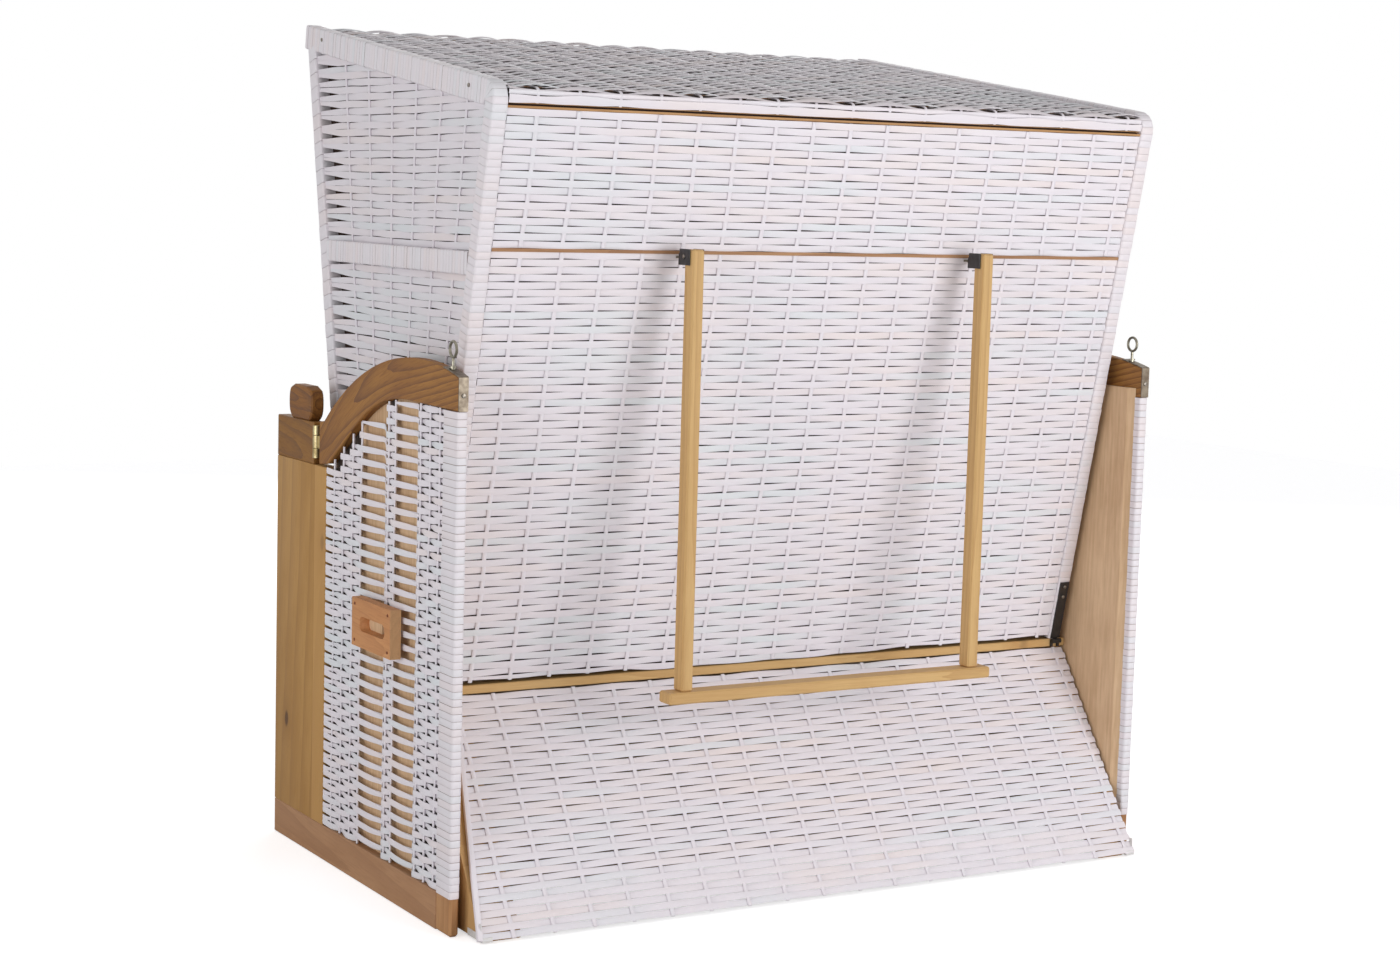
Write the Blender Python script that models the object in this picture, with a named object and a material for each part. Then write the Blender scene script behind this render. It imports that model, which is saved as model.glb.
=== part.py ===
"""Hooded beach chair: two wicker and wood side walls, a seat box with two pull-out footrests,
a reclining wicker hood on strap hinges, and a hanging prop frame behind it.
Metres, +Z up. The floor is z = 0, the sitter looks along -Y, and x = 0 is the middle."""

import math

import bmesh
import bpy
from mathutils import Matrix, Vector

# Clearances
seat_gap = 0.0003
slide_clearance = 0.003
pin_clearance = 0.0005
knuckle_gap = 0.0005
arm_clearance = 0.002
cut_overrun = 0.004

# Side walls
chair_width = 1.506
wall_depth = 0.828
frame_thickness = 0.018
inner_board_thickness = 0.010
inner_board_setback = 0.014
inner_board_overlap = 0.015
plinth_height = 0.067
front_board_width = 0.200
side_strip_width = 0.065
board_groove_width = 0.003
board_groove_depth = 0.002
rear_post_depth = 0.058
rear_post_round = 0.004
weave_thickness = 0.012
edge_ease = 0.0015

# End block and knob at the front of each wall
block_length = 0.186
block_height = 0.080
block_thickness = 0.026
block_bottom_z = 0.757
knob_length = 0.116
knob_height = 0.066
knob_thickness = 0.026
knob_setback = 0.057
knob_rows = 10
knob_end_width_share = 0.62
knob_round_share = 0.16
knob_ease = 0.003

# Carved swing arm on top of each wall
arm_hinge_room = 0.028
arm_front_rise = 0.003
arm_toe_share = 0.0733
arm_toe_rise = 0.008
arm_hollow_share = 0.2932
arm_hollow_rise = 0.096
arm_flat_share = 0.6515
arm_flat_rise = 0.1585
arm_tail_rise = 0.156
arm_crown_share = 0.7248
arm_top_thickness = 0.079
arm_crown_radius_share = 1.1075
arm_nose_share = 0.0358
arm_nose_ease = 0.003
arm_curve_steps = 12
crown_steps = 24
strap_steps = 6

# Brass hinge between the end block and the arm
hinge_barrel_radius = 0.0075
hinge_pin_radius = 0.0030
hinge_leaf_thickness = 0.0025
hinge_leaf_width = 0.016
hinge_height = 0.062
hinge_bottom_z = 0.770
hinge_proud = 0.0045
hinge_middle_share = 0.40
round_steps = 20

# Steel strap and eye bolt at the rear end of the arm
strap_thickness = 0.0020
strap_top_length = 0.062
eye_ring_radius = 0.0135
eye_wire_radius = 0.0026
eye_shank_radius = 0.0040
eye_collar_radius = 0.0065
eye_collar_height = 0.0030
eye_setback = 0.042
eye_neck_length = 0.0167
eye_ring_steps = 24
eye_wire_steps = 8

# Carry handle on the outside of each wall
handle_length = 0.174
handle_height = 0.087
handle_thickness = 0.020
handle_middle_share = 0.6304
handle_bottom_z = 0.449
handle_corner = 0.010
handle_slot_length = 0.106
handle_slot_height = 0.033
handle_bar_radius = 0.0080
handle_bar_setback = 0.0090
handle_edge = 0.003

# Seat box
seat_top_z = 0.400
deck_thickness = 0.015
deck_overhang = 0.009
rear_rail_height = 0.0162
rear_rail_depth = 0.032
apron_height = 0.040
apron_thickness = 0.018
floor_board_thickness = 0.010
floor_board_lift = 0.004
divider_thickness = 0.018
flap_foot_reach = 0.066
hood_foot_setback = 0.1922
flap_foot_z = 0.008
flap_thickness = 0.010
flap_side_gap = 0.0045
cheek_thickness = 0.018
cheek_inset = 0.0025
cheek_lift = 0.004

# Footrests
footrest_depth_share = 0.4734
footrest_height = 0.272
footrest_board = 0.012
footrest_front_setback = 0.002
footrest_slot_length = 0.110
footrest_slot_height = 0.030
footrest_slot_drop = 0.045
footrest_cushion_height = 0.050
footrest_cushion_inset = 0.012

# Hood
overall_height = 1.600
hood_side_clearance = 0.013
hood_toe_in = 0.042
hood_frame_thickness = 0.028
hood_rear_lean = math.radians(12.05)
hood_front_lean = math.radians(13.5)
hood_front_reach = 0.0785
roof_slope = math.radians(8.0)
roof_thickness = 0.010
top_band_height = 0.045
mid_band_share = 0.6508
mid_band_height = 0.039
mid_band_thickness = 0.014
bottom_band_height = 0.045
rear_post_width = 0.034
front_post_width = 0.036
hood_corner_radius = 0.0345
hood_corner_steps = 6
hood_weave_thickness = 0.009
back_thickness = 0.010
back_top_drop = 0.037
roof_rail_height = 0.022
roof_rail_depth = 0.0275
back_side_gap = 0.001
mid_rail_height = 0.044
mid_rail_depth = 0.027
mid_rail_rib = 0.006
back_split_share = 0.655
lining_thickness = 0.006
lining_lift = 0.020

# Strap hinges that carry the hood
pivot_barrel_radius = 0.0050
pivot_pin_radius = 0.0022
pivot_leaf_thickness = 0.0030
pivot_leaf_width = 0.022
pivot_leaf_length = 0.125
pivot_setout = 0.0062
pivot_drop = 0.0040
pivot_knuckle_share = 0.40
pivot_side_inset = 0.003
recline_limit_degrees = 45.0

# Prop frame
prop_leg_share = 0.4424
prop_leg_width = 0.024
prop_leg_depth = 0.030
prop_pivot_setout = 0.0549
prop_pivot_share = 0.6492
prop_leg_top = 0.014
prop_pin_radius = 0.0040
prop_bar_overhang = 0.038
prop_bar_height = 0.021
prop_bar_depth = 0.041
prop_bar_bottom_z = 0.386
prop_ease = 0.003
prop_ear_thickness = 0.003
prop_ear_height = 0.028
prop_ear_clearance = 0.001
prop_ear_reach = 0.012

# Cushions
seat_cushion_height = 0.100
back_cushion_thickness = 0.085
back_cushion_share = 0.500
back_cushion_lift = 0.012
cushion_side_gap = 0.012
cushion_crown_share = 0.16
cushion_pinch_share = 0.025
cushion_channel_share = 0.05
cushion_across = 28
cushion_along = 12
small_cushion_across = 14
small_cushion_along = 8

# Places worked out from the sizes above
wall_outer_x = chair_width / 2
wall_inner_x = wall_outer_x - frame_thickness
room_half_width = wall_inner_x - inner_board_thickness
wall_middle_y = (hood_front_reach - flap_foot_reach) / 2
wall_front_y = wall_middle_y - wall_depth / 2
wall_rear_y = wall_middle_y + wall_depth / 2
post_front_y = wall_rear_y - rear_post_depth
strip_front_y = wall_front_y + front_board_width
weave_front_y = strip_front_y + side_strip_width
block_rear_y = wall_front_y + block_length
block_top_z = block_bottom_z + block_height
arm_front_y = block_rear_y + arm_hinge_room
arm_length = wall_rear_y - arm_front_y
arm_toe_y = arm_front_y + arm_length * arm_toe_share
arm_hollow_y = arm_front_y + arm_length * arm_hollow_share
arm_flat_y = arm_front_y + arm_length * arm_flat_share
arm_crown_y = arm_front_y + arm_length * arm_crown_share
arm_nose_y = arm_front_y + arm_length * arm_nose_share
arm_crown_radius = arm_length * arm_crown_radius_share
arm_front_bottom_z = block_bottom_z + arm_front_rise
arm_toe_z = block_bottom_z + arm_toe_rise
arm_hollow_z = block_bottom_z + arm_hollow_rise
arm_flat_z = block_bottom_z + arm_flat_rise
arm_tail_z = block_bottom_z + arm_tail_rise
arm_crown_z = arm_tail_z + arm_top_thickness
handle_front_y = wall_front_y + wall_depth * handle_middle_share - handle_length / 2
footrest_depth = wall_depth * footrest_depth_share
hood_rear_half_width = room_half_width - hood_side_clearance
hood_front_half_width = hood_rear_half_width - hood_toe_in
hood_rear_foot_y = wall_rear_y - hood_foot_setback
hood_front_top_y = wall_front_y - hood_front_reach
hood_foot_z = seat_top_z
hood_rise = overall_height - hood_foot_z
mid_band_top_z = hood_foot_z + hood_rise * mid_band_share
back_split_z = hood_foot_z + hood_rise * back_split_share
flap_foot_y = wall_rear_y + flap_foot_reach
pivot_y = hood_rear_foot_y + pivot_setout
pivot_z = seat_top_z - pivot_drop
axis_x = wall_outer_x + hinge_proud - hinge_barrel_radius
axis_y = block_rear_y + seat_gap + hinge_barrel_radius
eye_x = wall_outer_x - frame_thickness / 2
eye_y = wall_rear_y - eye_setback
prop_leg_x = hood_rear_half_width * prop_leg_share
prop_bar_length = (prop_leg_x + prop_bar_overhang) * 2
prop_pivot_z = hood_foot_z + hood_rise * prop_pivot_share
prop_pivot_y = hood_rear_foot_y + hood_rise * prop_pivot_share * math.tan(hood_rear_lean) + prop_pivot_setout
lining_bottom_z = seat_top_z + seat_cushion_height + lining_lift
back_cushion_height = hood_rise * back_cushion_share


def rear_plane_y(z):
    return hood_rear_foot_y + (z - hood_foot_z) * math.tan(hood_rear_lean)


def front_plane_y(z):
    return hood_front_top_y + (overall_height - z) * math.tan(hood_front_lean)


def roof_top_z(y):
    return overall_height - (y - hood_front_top_y) * math.tan(roof_slope)


def line_crossing(y_of_z, z_of_y):
    """The point where a leaning plane meets the roof plane, found by stepping between the two."""
    z = overall_height
    for _ in range(30):
        z = z_of_y(y_of_z(z))
    return y_of_z(z), z


def hood_corner(depth):
    """The rounded corner of the roof and the hood's back, as (y, z) points, a depth inside them."""
    corner = Vector(line_crossing(rear_plane_y, roof_top_z))
    along_roof = Vector((-math.cos(roof_slope), math.sin(roof_slope)))
    along_rear = Vector((-math.sin(hood_rear_lean), -math.cos(hood_rear_lean)))
    half = along_roof.angle(along_rear) / 2
    centre = corner + (along_roof + along_rear).normalized() * hood_corner_radius / math.sin(half)
    low, high = hood_rear_lean * -1, math.pi / 2 - roof_slope
    points = []
    for step in range(hood_corner_steps + 1):
        angle = low + (high - low) * step / hood_corner_steps
        out = Vector((math.cos(angle), math.sin(angle))) * (hood_corner_radius - depth)
        points.append(tuple(centre + out))
    return points


def arm_crown_z_at(y):
    drop = math.sqrt(arm_crown_radius**2 - (y - arm_crown_y) ** 2)
    return arm_crown_z - arm_crown_radius + drop


def arm_underside():
    """The carved underside from the toe to the tail: a slope, a hollow curve and a long flat."""
    slope = (arm_hollow_z - arm_toe_z) / (arm_hollow_y - arm_toe_y)
    bend_y = arm_hollow_y + (arm_flat_z - arm_hollow_z) / slope
    points = [(arm_front_y, arm_front_bottom_z), (arm_toe_y, arm_toe_z)]
    for step in range(arm_curve_steps + 1):
        t = step / arm_curve_steps
        a, b, c = (1 - t) ** 2, 2 * t * (1 - t), t**2
        y = a * arm_hollow_y + b * bend_y + c * arm_flat_y
        z = a * arm_hollow_z + b * arm_flat_z + c * arm_flat_z
        points.append((y, z))
    points.append((wall_rear_y, arm_tail_z))
    return points


def clear_scene():
    for thing in list(bpy.data.objects):
        bpy.data.objects.remove(thing, do_unlink=True)


def make_material(name, colour, roughness, metallic=0.0):
    material = bpy.data.materials.new(name)
    material.use_nodes = True
    shader = material.node_tree.nodes["Principled BSDF"]
    shader.inputs["Base Color"].default_value = (*colour, 1.0)
    shader.inputs["Roughness"].default_value = roughness
    shader.inputs["Metallic"].default_value = metallic
    material.diffuse_color = (*colour, 1.0)
    return material


def finish_mesh(name, mesh_data, material, ease=0.0):
    """Turn a bmesh into an object with outward faces, and ease its edges where asked."""
    bmesh.ops.recalc_face_normals(mesh_data, faces=mesh_data.faces[:])
    mesh = bpy.data.meshes.new(name)
    mesh_data.to_mesh(mesh)
    mesh_data.free()
    piece = bpy.data.objects.new(name, mesh)
    bpy.context.scene.collection.objects.link(piece)
    if material:
        mesh.materials.append(material)
    if ease:
        bevel = piece.modifiers.new("ease", "BEVEL")
        bevel.width = ease
        bevel.segments = 1
        bevel.limit_method = "ANGLE"
        bevel.angle_limit = math.radians(50)
    return piece


def make_board(name, x, y, z, material, ease=0.0):
    """A straight board between two corners, each given as (low, high)."""
    body = bmesh.new()
    bmesh.ops.create_cube(body, size=1.0)
    size = Vector((x[1] - x[0], y[1] - y[0], z[1] - z[0]))
    centre = Vector(((x[0] + x[1]) / 2, (y[0] + y[1]) / 2, (z[0] + z[1]) / 2))
    bmesh.ops.scale(body, vec=size, verts=body.verts[:])
    bmesh.ops.translate(body, vec=centre, verts=body.verts[:])
    return finish_mesh(name, body, material, ease)


def make_profile(name, outline, x, material, ease=0.0):
    """A board sawn to an outline of (y, z) points and x[1] - x[0] thick."""
    body = bmesh.new()
    face = body.faces.new([body.verts.new((x[0], y, z)) for y, z in outline])
    grown = bmesh.ops.extrude_face_region(body, geom=[face])
    moved = [part for part in grown["geom"] if isinstance(part, bmesh.types.BMVert)]
    bmesh.ops.translate(body, vec=(x[1] - x[0], 0, 0), verts=moved)
    return finish_mesh(name, body, material, ease)


def make_turned(name, profile, centre, axis, material, steps=round_steps):
    """A turned piece: profile holds (radius, height) from foot to tip along the axis."""
    body = bmesh.new()
    verts = [body.verts.new((radius, 0, height)) for radius, height in profile]
    edges = [body.edges.new(pair) for pair in zip(verts, verts[1:])]
    bmesh.ops.spin(
        body, geom=verts + edges, axis=(0, 0, 1), cent=(0, 0, 0),
        angle=math.tau, steps=steps, use_merge=True,
    )
    bmesh.ops.remove_doubles(body, verts=body.verts[:], dist=seat_gap / 10)
    turn = Vector((0, 0, 1)).rotation_difference(Vector(axis)).to_matrix().to_4x4()
    bmesh.ops.transform(body, matrix=Matrix.Translation(centre) @ turn, verts=body.verts[:])
    piece = finish_mesh(name, body, material)
    piece.data.shade_smooth()
    piece.data.set_sharp_from_angle(angle=math.radians(40))
    return piece


def make_rod(name, radius, low, high, material=None, steps=round_steps):
    """A plain round rod between two points."""
    low, high = Vector(low), Vector(high)
    length = (high - low).length
    profile = [(0, 0), (radius, 0), (radius, length), (0, length)]
    return make_turned(name, profile, low, (high - low).normalized(), material, steps)


def as_helper(tool):
    tool.hide_render = True
    tool.display_type = "WIRE"
    return tool


def combine(piece, tool, operation):
    """Cut a helper from a piece, or join it on, with a live Boolean."""
    boolean = piece.modifiers.new(operation.lower(), "BOOLEAN")
    boolean.operation = operation
    boolean.solver = "EXACT"
    boolean.object = as_helper(tool)
    return piece


def cut(piece, tool):
    return combine(piece, tool, "DIFFERENCE")


def join(piece, tool):
    return combine(piece, tool, "UNION")


def make_pivot(name, place):
    empty = bpy.data.objects.new(name, None)
    empty.location = place
    empty.empty_display_size = block_height
    bpy.context.scene.collection.objects.link(empty)
    return empty


def hang_on(pivot, pieces):
    """Parent pieces to a pivot empty, keeping them in place, with their origins on its axis."""
    for piece in pieces:
        piece.data.transform(Matrix.Translation(-pivot.location))
        piece.parent = pivot
        for modifier in piece.modifiers:
            if modifier.type == "BOOLEAN" and modifier.object.parent is None:
                hang_on(pivot, [modifier.object])


def mirror_x(span, side):
    """A span of x on the given side, in rising order."""
    return tuple(sorted((side * span[0], side * span[1])))


def toe_in(piece):
    """Narrow a piece of the hood towards its front, as the hood's sides are."""
    depth = rear_plane_y(overall_height) - hood_front_top_y
    rate = (hood_rear_half_width - hood_front_half_width) / depth
    for vertex in piece.data.vertices:
        shift = rate * (rear_plane_y(vertex.co.z) - vertex.co.y)
        vertex.co.x -= math.copysign(shift, vertex.co.x)
    return piece


def make_wall(side, label, paint):
    """The still parts of one side wall."""
    frame_x = mirror_x((wall_inner_x, wall_outer_x), side)
    weave_x = mirror_x((wall_outer_x - weave_thickness, wall_outer_x), side)
    make_board(
        "plinth_" + label, frame_x, (wall_front_y, post_front_y - seat_gap),
        (0, plinth_height), paint["board"], edge_ease,
    )
    make_front_board(side, label, frame_x, paint)
    post = make_board(
        "rear_post_" + label, frame_x, (post_front_y, wall_rear_y),
        (0, arm_tail_z - seat_gap), paint["wicker"], rear_post_round,
    )
    post.data.name = "rear_post"
    make_inner_board(side, label, paint)
    make_side_weave(side, label, weave_x, paint)
    make_end_block(side, label, paint)
    make_carry_handle(side, label, paint)


def make_front_board(side, label, frame_x, paint):
    """The wide front board and the narrow strip beside it, with the groove where they meet."""
    face_x, groove_x = wall_outer_x, wall_outer_x - board_groove_depth
    front, strip, rear = wall_front_y, strip_front_y, weave_front_y - seat_gap
    half = board_groove_width / 2
    outline = [
        (wall_inner_x, front), (face_x, front), (face_x, strip - half), (groove_x, strip),
        (face_x, strip + half), (face_x, rear), (wall_inner_x, rear),
    ]
    body = bmesh.new()
    low = plinth_height + seat_gap
    face = body.faces.new([body.verts.new((side * x, y, low)) for x, y in outline])
    grown = bmesh.ops.extrude_face_region(body, geom=[face])
    moved = [part for part in grown["geom"] if isinstance(part, bmesh.types.BMVert)]
    bmesh.ops.translate(body, vec=(0, 0, block_bottom_z - seat_gap - low), verts=moved)
    finish_mesh("front_board_" + label, body, paint["board"])


def make_inner_board(side, label, paint):
    """The smooth board that backs the weave; its top follows the arm's underside."""
    rear = wall_rear_y - inner_board_setback
    top = [(y, z + inner_board_overlap) for y, z in arm_underside() if arm_toe_y <= y < rear]
    outline = [(wall_front_y, 0), (rear, 0), (rear, top[-1][1])]
    outline += list(reversed(top))
    outline += [(arm_toe_y, block_bottom_z - seat_gap), (wall_front_y, block_bottom_z - seat_gap)]
    span = mirror_x((room_half_width, wall_inner_x - seat_gap), side)
    make_profile("inner_board_" + label, outline, span, paint["panel"])


def make_side_weave(side, label, weave_x, paint):
    """The woven panel between the strip and the rear post, open behind the carry handle."""
    low = plinth_height + seat_gap
    rear = post_front_y - seat_gap
    under = [(y, z - arm_clearance) for y, z in arm_underside() if weave_front_y < y < rear]
    outline = [(weave_front_y, low), (rear, low), (rear, under[-1][1])]
    outline += list(reversed(under))
    outline += [(weave_front_y, arm_toe_z - arm_clearance)]
    panel = make_profile("side_weave_" + label, outline, weave_x, paint["wicker"])
    tool = handle_slot_tool("weave_slot_" + label, side, handle_edge)
    cut(panel, tool)


def handle_slot_tool(name, side, grow):
    """A round-ended slot as long as the finger hole, grown by the given edge."""
    middle_y = handle_front_y + handle_length / 2
    middle_z = handle_bottom_z + handle_height / 2
    radius = handle_slot_height / 2 + grow
    reach = handle_slot_length / 2 - handle_slot_height / 2
    outline = []
    for centre, start in ((reach, -math.pi / 2), (-reach, math.pi / 2)):
        for step in range(9):
            angle = start + math.pi * step / 8
            y = middle_y + centre + radius * math.cos(angle)
            outline.append((y, middle_z + radius * math.sin(angle)))
    span = (wall_inner_x - cut_overrun, wall_outer_x + handle_thickness + cut_overrun)
    return make_profile(name, outline, mirror_x(span, side), None)


def make_carry_handle(side, label, paint):
    """The screwed-on grip plate with its round-ended finger slot and the bar across it."""
    face = wall_outer_x + handle_thickness
    low_y, high_y = handle_front_y, handle_front_y + handle_length
    low_z, high_z = handle_bottom_z, handle_bottom_z + handle_height
    corners = ((high_y, high_z, 0), (low_y, high_z, 1), (low_y, low_z, 2), (high_y, low_z, 3))
    outline = []
    for y, z, quarter in corners:
        centre_y = y - math.copysign(handle_corner, y - (low_y + high_y) / 2)
        centre_z = z - math.copysign(handle_corner, z - (low_z + high_z) / 2)
        for step in range(4):
            angle = (quarter + step / 3) * math.pi / 2
            outline.append((
                centre_y + handle_corner * math.cos(angle),
                centre_z + handle_corner * math.sin(angle),
            ))
    span = mirror_x((wall_outer_x + seat_gap, face), side)
    plate = make_profile("carry_handle_" + label, outline, span, paint["handle"], handle_edge)
    cut(plate, handle_slot_tool("grip_slot_" + label, side, 0))
    bar_x = side * (face - handle_bar_setback)
    bar_z = (low_z + high_z) / 2
    inset = (handle_length - handle_slot_length) / 4
    bar = make_rod(
        "grip_bar_" + label, handle_bar_radius,
        (bar_x, low_y + inset, bar_z), (bar_x, high_y - inset, bar_z), steps=12,
    )
    join(plate, bar)


def make_end_block(side, label, paint):
    """The block at the front top corner of the wall, and the barrel-sided knob on it."""
    span = mirror_x((wall_outer_x - block_thickness, wall_outer_x), side)
    make_board(
        "end_block_" + label, span, (wall_front_y, block_rear_y),
        (block_bottom_z, block_top_z), paint["arm"], edge_ease,
    )
    make_knob(side, label, paint)


def make_knob(side, label, paint):
    """A loaf of wood whose ends bulge and whose top corners are rounded."""
    middle = wall_front_y + knob_setback + knob_length / 2
    radius = knob_round_share * knob_height
    bulge = knob_length / 2 - radius / 2
    left, right = [], []
    for row in range(knob_rows + 1):
        share = row / knob_rows
        height = block_top_z + seat_gap + share * knob_height
        lift = 2 * share - 1
        half = bulge * (1 - (1 - knob_end_width_share) * lift**4 / 2) + radius / 2 * (1 - lift**2)
        if row == knob_rows:
            half -= radius
        left.append((middle - half, height))
        right.append((middle + half, height))
    outline = left + list(reversed(right))
    span = mirror_x((wall_outer_x - knob_thickness, wall_outer_x), side)
    make_profile("knob_" + label, outline, span, paint["arm"], knob_ease)


def make_arm(side, label, paint):
    """The carved arm that swings out on its front hinge, with its drilled tail."""
    underside = arm_underside()
    lifted = [(y, z + seat_gap) for y, z in underside]
    lifted[-1] = (wall_rear_y, arm_tail_z)
    lifted[0] = (arm_front_y, arm_front_bottom_z)
    crown = []
    for step in range(crown_steps + 1):
        y = wall_rear_y + (arm_nose_y - wall_rear_y) * step / crown_steps
        crown.append((y, arm_crown_z_at(y)))
    crown.append((arm_front_y, arm_crown_z_at(arm_nose_y) - arm_nose_ease))
    span = mirror_x((wall_inner_x, wall_outer_x), side)
    arm = make_profile("arm_" + label, lifted + crown, span, paint["arm"], edge_ease)
    bore = make_rod(
        "arm_bore_" + label, eye_shank_radius + pin_clearance,
        (side * eye_x, eye_y, arm_tail_z - cut_overrun * 2),
        (side * eye_x, eye_y, arm_crown_z + cut_overrun), steps=12,
    )
    cut(arm, bore)
    strap = make_strap(side, label, paint)
    leaf = make_arm_leaf(side, label, paint)
    return [arm, strap, leaf]


def make_strap(side, label, paint):
    """The steel strip bent over the tail of the arm, drilled for the eye bolt."""
    low, high = seat_gap, seat_gap + strap_thickness
    front = wall_rear_y + low - strap_top_length
    inner, outer = [], []
    for step in range(strap_steps + 1):
        y = front + (wall_rear_y - front) * step / strap_steps
        inner.append((y, arm_crown_z_at(y) + low))
        outer.append((y, arm_crown_z_at(y) + high))
    inner[-1] = (wall_rear_y + low, inner[-1][1])
    outer.append((wall_rear_y + high, outer[-1][1] - strap_thickness))
    outline = outer + [(wall_rear_y + high, arm_tail_z), (wall_rear_y + low, arm_tail_z)]
    outline += list(reversed(inner))
    span = mirror_x((wall_inner_x, wall_outer_x), side)
    strap = make_profile("arm_strap_" + label, outline, span, paint["steel"])
    bore = make_rod(
        "strap_bore_" + label, eye_shank_radius + pin_clearance,
        (side * eye_x, eye_y, arm_flat_z), (side * eye_x, eye_y, arm_crown_z + cut_overrun),
        steps=12,
    )
    return cut(strap, bore)


def knuckle_heights():
    """Heights of the lower, middle and upper knuckles of the brass hinge."""
    middle = hinge_height * hinge_middle_share
    end = (hinge_height - middle) / 2
    low = hinge_bottom_z
    return (low, low + end), (low + end, low + end + middle), (low + end + middle, low + hinge_height)


def make_block_leaf(side, label, paint):
    """The still half of the brass hinge: two knuckles, the pin and the leaf on the block."""
    lower, middle, upper = knuckle_heights()
    r, pin = hinge_barrel_radius, hinge_pin_radius
    foot = lower[0]
    profile = [
        (0, 0), (r, 0), (r, lower[1] - knuckle_gap - foot), (pin, lower[1] - knuckle_gap - foot),
        (pin, upper[0] + knuckle_gap - foot), (r, upper[0] + knuckle_gap - foot),
        (r, upper[1] - foot), (0, upper[1] - foot),
    ]
    hinge = make_turned(
        "arm_hinge_" + label, profile, (side * axis_x, axis_y, foot), (0, 0, 1), paint["brass"],
    )
    leaf_y = (block_rear_y + seat_gap, block_rear_y + seat_gap + hinge_leaf_thickness)
    leaf_x = mirror_x((axis_x - hinge_leaf_width, axis_x), side)
    for number, (low, high) in enumerate((lower, upper)):
        if number == 0:
            high -= knuckle_gap
        else:
            low += knuckle_gap
        tab = make_board("block_leaf_%s_%d" % (label, number), leaf_x, leaf_y, (low, high), None)
        join(hinge, tab)


def make_arm_leaf(side, label, paint):
    """The moving half of the brass hinge: a knuckle round the pin, a web and the arm's leaf."""
    middle = knuckle_heights()[1]
    low, high = middle[0] + knuckle_gap, middle[1] - knuckle_gap
    inner, outer = hinge_pin_radius + pin_clearance, hinge_barrel_radius
    height = high - low
    profile = [(inner, 0), (outer, 0), (outer, height), (inner, height), (inner, 0)]
    leaf = make_turned(
        "arm_hinge_leaf_" + label, profile, (side * axis_x, axis_y, low), (0, 0, 1), paint["brass"],
    )
    half = hinge_leaf_thickness / 2
    rear = arm_front_y - seat_gap
    web_front = axis_y + (inner + outer) / 2
    web = make_board(
        "leaf_web_" + label, mirror_x((axis_x - half, axis_x + half), side),
        (web_front, rear - half), (low, high), None,
    )
    plate = make_board(
        "leaf_plate_" + label,
        mirror_x((wall_inner_x + half, wall_outer_x - half), side),
        (rear - hinge_leaf_thickness, rear), (low, high), None,
    )
    join(leaf, web)
    return join(leaf, plate)


def make_eye_bolt(side, label, paint):
    """The ring-headed pin that drops through the strap and the arm's tail."""
    top = arm_crown_z_at(eye_y - eye_collar_radius) + strap_thickness + seat_gap * 3
    foot = arm_tail_z + seat_gap * 2
    collar, shank, neck = eye_collar_radius, eye_shank_radius, eye_wire_radius
    lift = top - foot
    profile = [
        (0, 0), (shank, 0), (shank, lift), (collar, lift), (collar, lift + eye_collar_height),
        (neck, lift + eye_collar_height), (neck, lift + eye_collar_height + eye_neck_length),
        (0, lift + eye_collar_height + eye_neck_length),
    ]
    bolt = make_turned(
        "eye_bolt_" + label, profile, (side * eye_x, eye_y, foot), (0, 0, 1), paint["zinc"], 12,
    )
    ring_z = top + eye_collar_height + eye_neck_length + eye_ring_radius - eye_wire_radius / 2
    body = bmesh.new()
    loops = []
    for step in range(eye_ring_steps):
        around = math.tau * step / eye_ring_steps
        loop = []
        for turn in range(eye_wire_steps):
            wire = math.tau * turn / eye_wire_steps
            radius = eye_ring_radius + eye_wire_radius * math.cos(wire)
            loop.append(body.verts.new((
                side * eye_x + eye_wire_radius * math.sin(wire),
                eye_y + radius * math.cos(around),
                ring_z + radius * math.sin(around),
            )))
        loops.append(loop)
    for step, loop in enumerate(loops):
        following = loops[(step + 1) % eye_ring_steps]
        for turn in range(eye_wire_steps):
            after = (turn + 1) % eye_wire_steps
            body.faces.new((loop[turn], following[turn], following[after], loop[after]))
    ring = finish_mesh("eye_ring_" + label, body, None)
    return join(bolt, ring)


def flap_points(depth):
    """The flap's slanted line at a depth below its outer face, at its top and its foot."""
    top_z = seat_top_z - rear_rail_height - seat_gap * 2
    run, fall = flap_foot_y - hood_rear_foot_y, top_z - flap_foot_z
    length = math.hypot(run, fall)
    shift = depth * length / fall
    return (hood_rear_foot_y - shift, top_z), (flap_foot_y - shift, flap_foot_z)


def make_seat_box(paint):
    """The deck, rails, floor board, divider and slanted rear flap between the walls."""
    room = (-room_half_width + seat_gap, room_half_width - seat_gap)
    rail_front = hood_rear_foot_y - rear_rail_depth
    deck_top = seat_top_z - seat_gap
    deck_front = wall_front_y + deck_overhang
    deck_z = (deck_top - deck_thickness, deck_top)
    deck_y = (deck_front, rail_front - seat_gap)
    make_board("seat_deck", room, deck_y, deck_z, paint["panel"], edge_ease)
    rail_z = (seat_top_z - rear_rail_height, deck_top)
    rail_y = (rail_front, hood_rear_foot_y)
    make_board("rear_rail", room, rail_y, rail_z, paint["pine"], edge_ease)
    apron_top = deck_z[0] - seat_gap
    apron_y = (deck_front, deck_front + apron_thickness)
    apron_z = (apron_top - apron_height, apron_top)
    make_board("seat_apron", room, apron_y, apron_z, paint["pine"], edge_ease)
    floor_z = (floor_board_lift, floor_board_lift + floor_board_thickness)
    cheek_front = rail_front + seat_gap
    make_board("floor_board", room, (deck_front, cheek_front - seat_gap), floor_z, paint["panel"])
    half = divider_thickness / 2
    make_board(
        "center_divider", (-half, half), (apron_y[1] + seat_gap, cheek_front - seat_gap),
        (floor_z[1] + seat_gap, apron_top), paint["panel"],
    )
    make_flap(paint, cheek_front)


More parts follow.
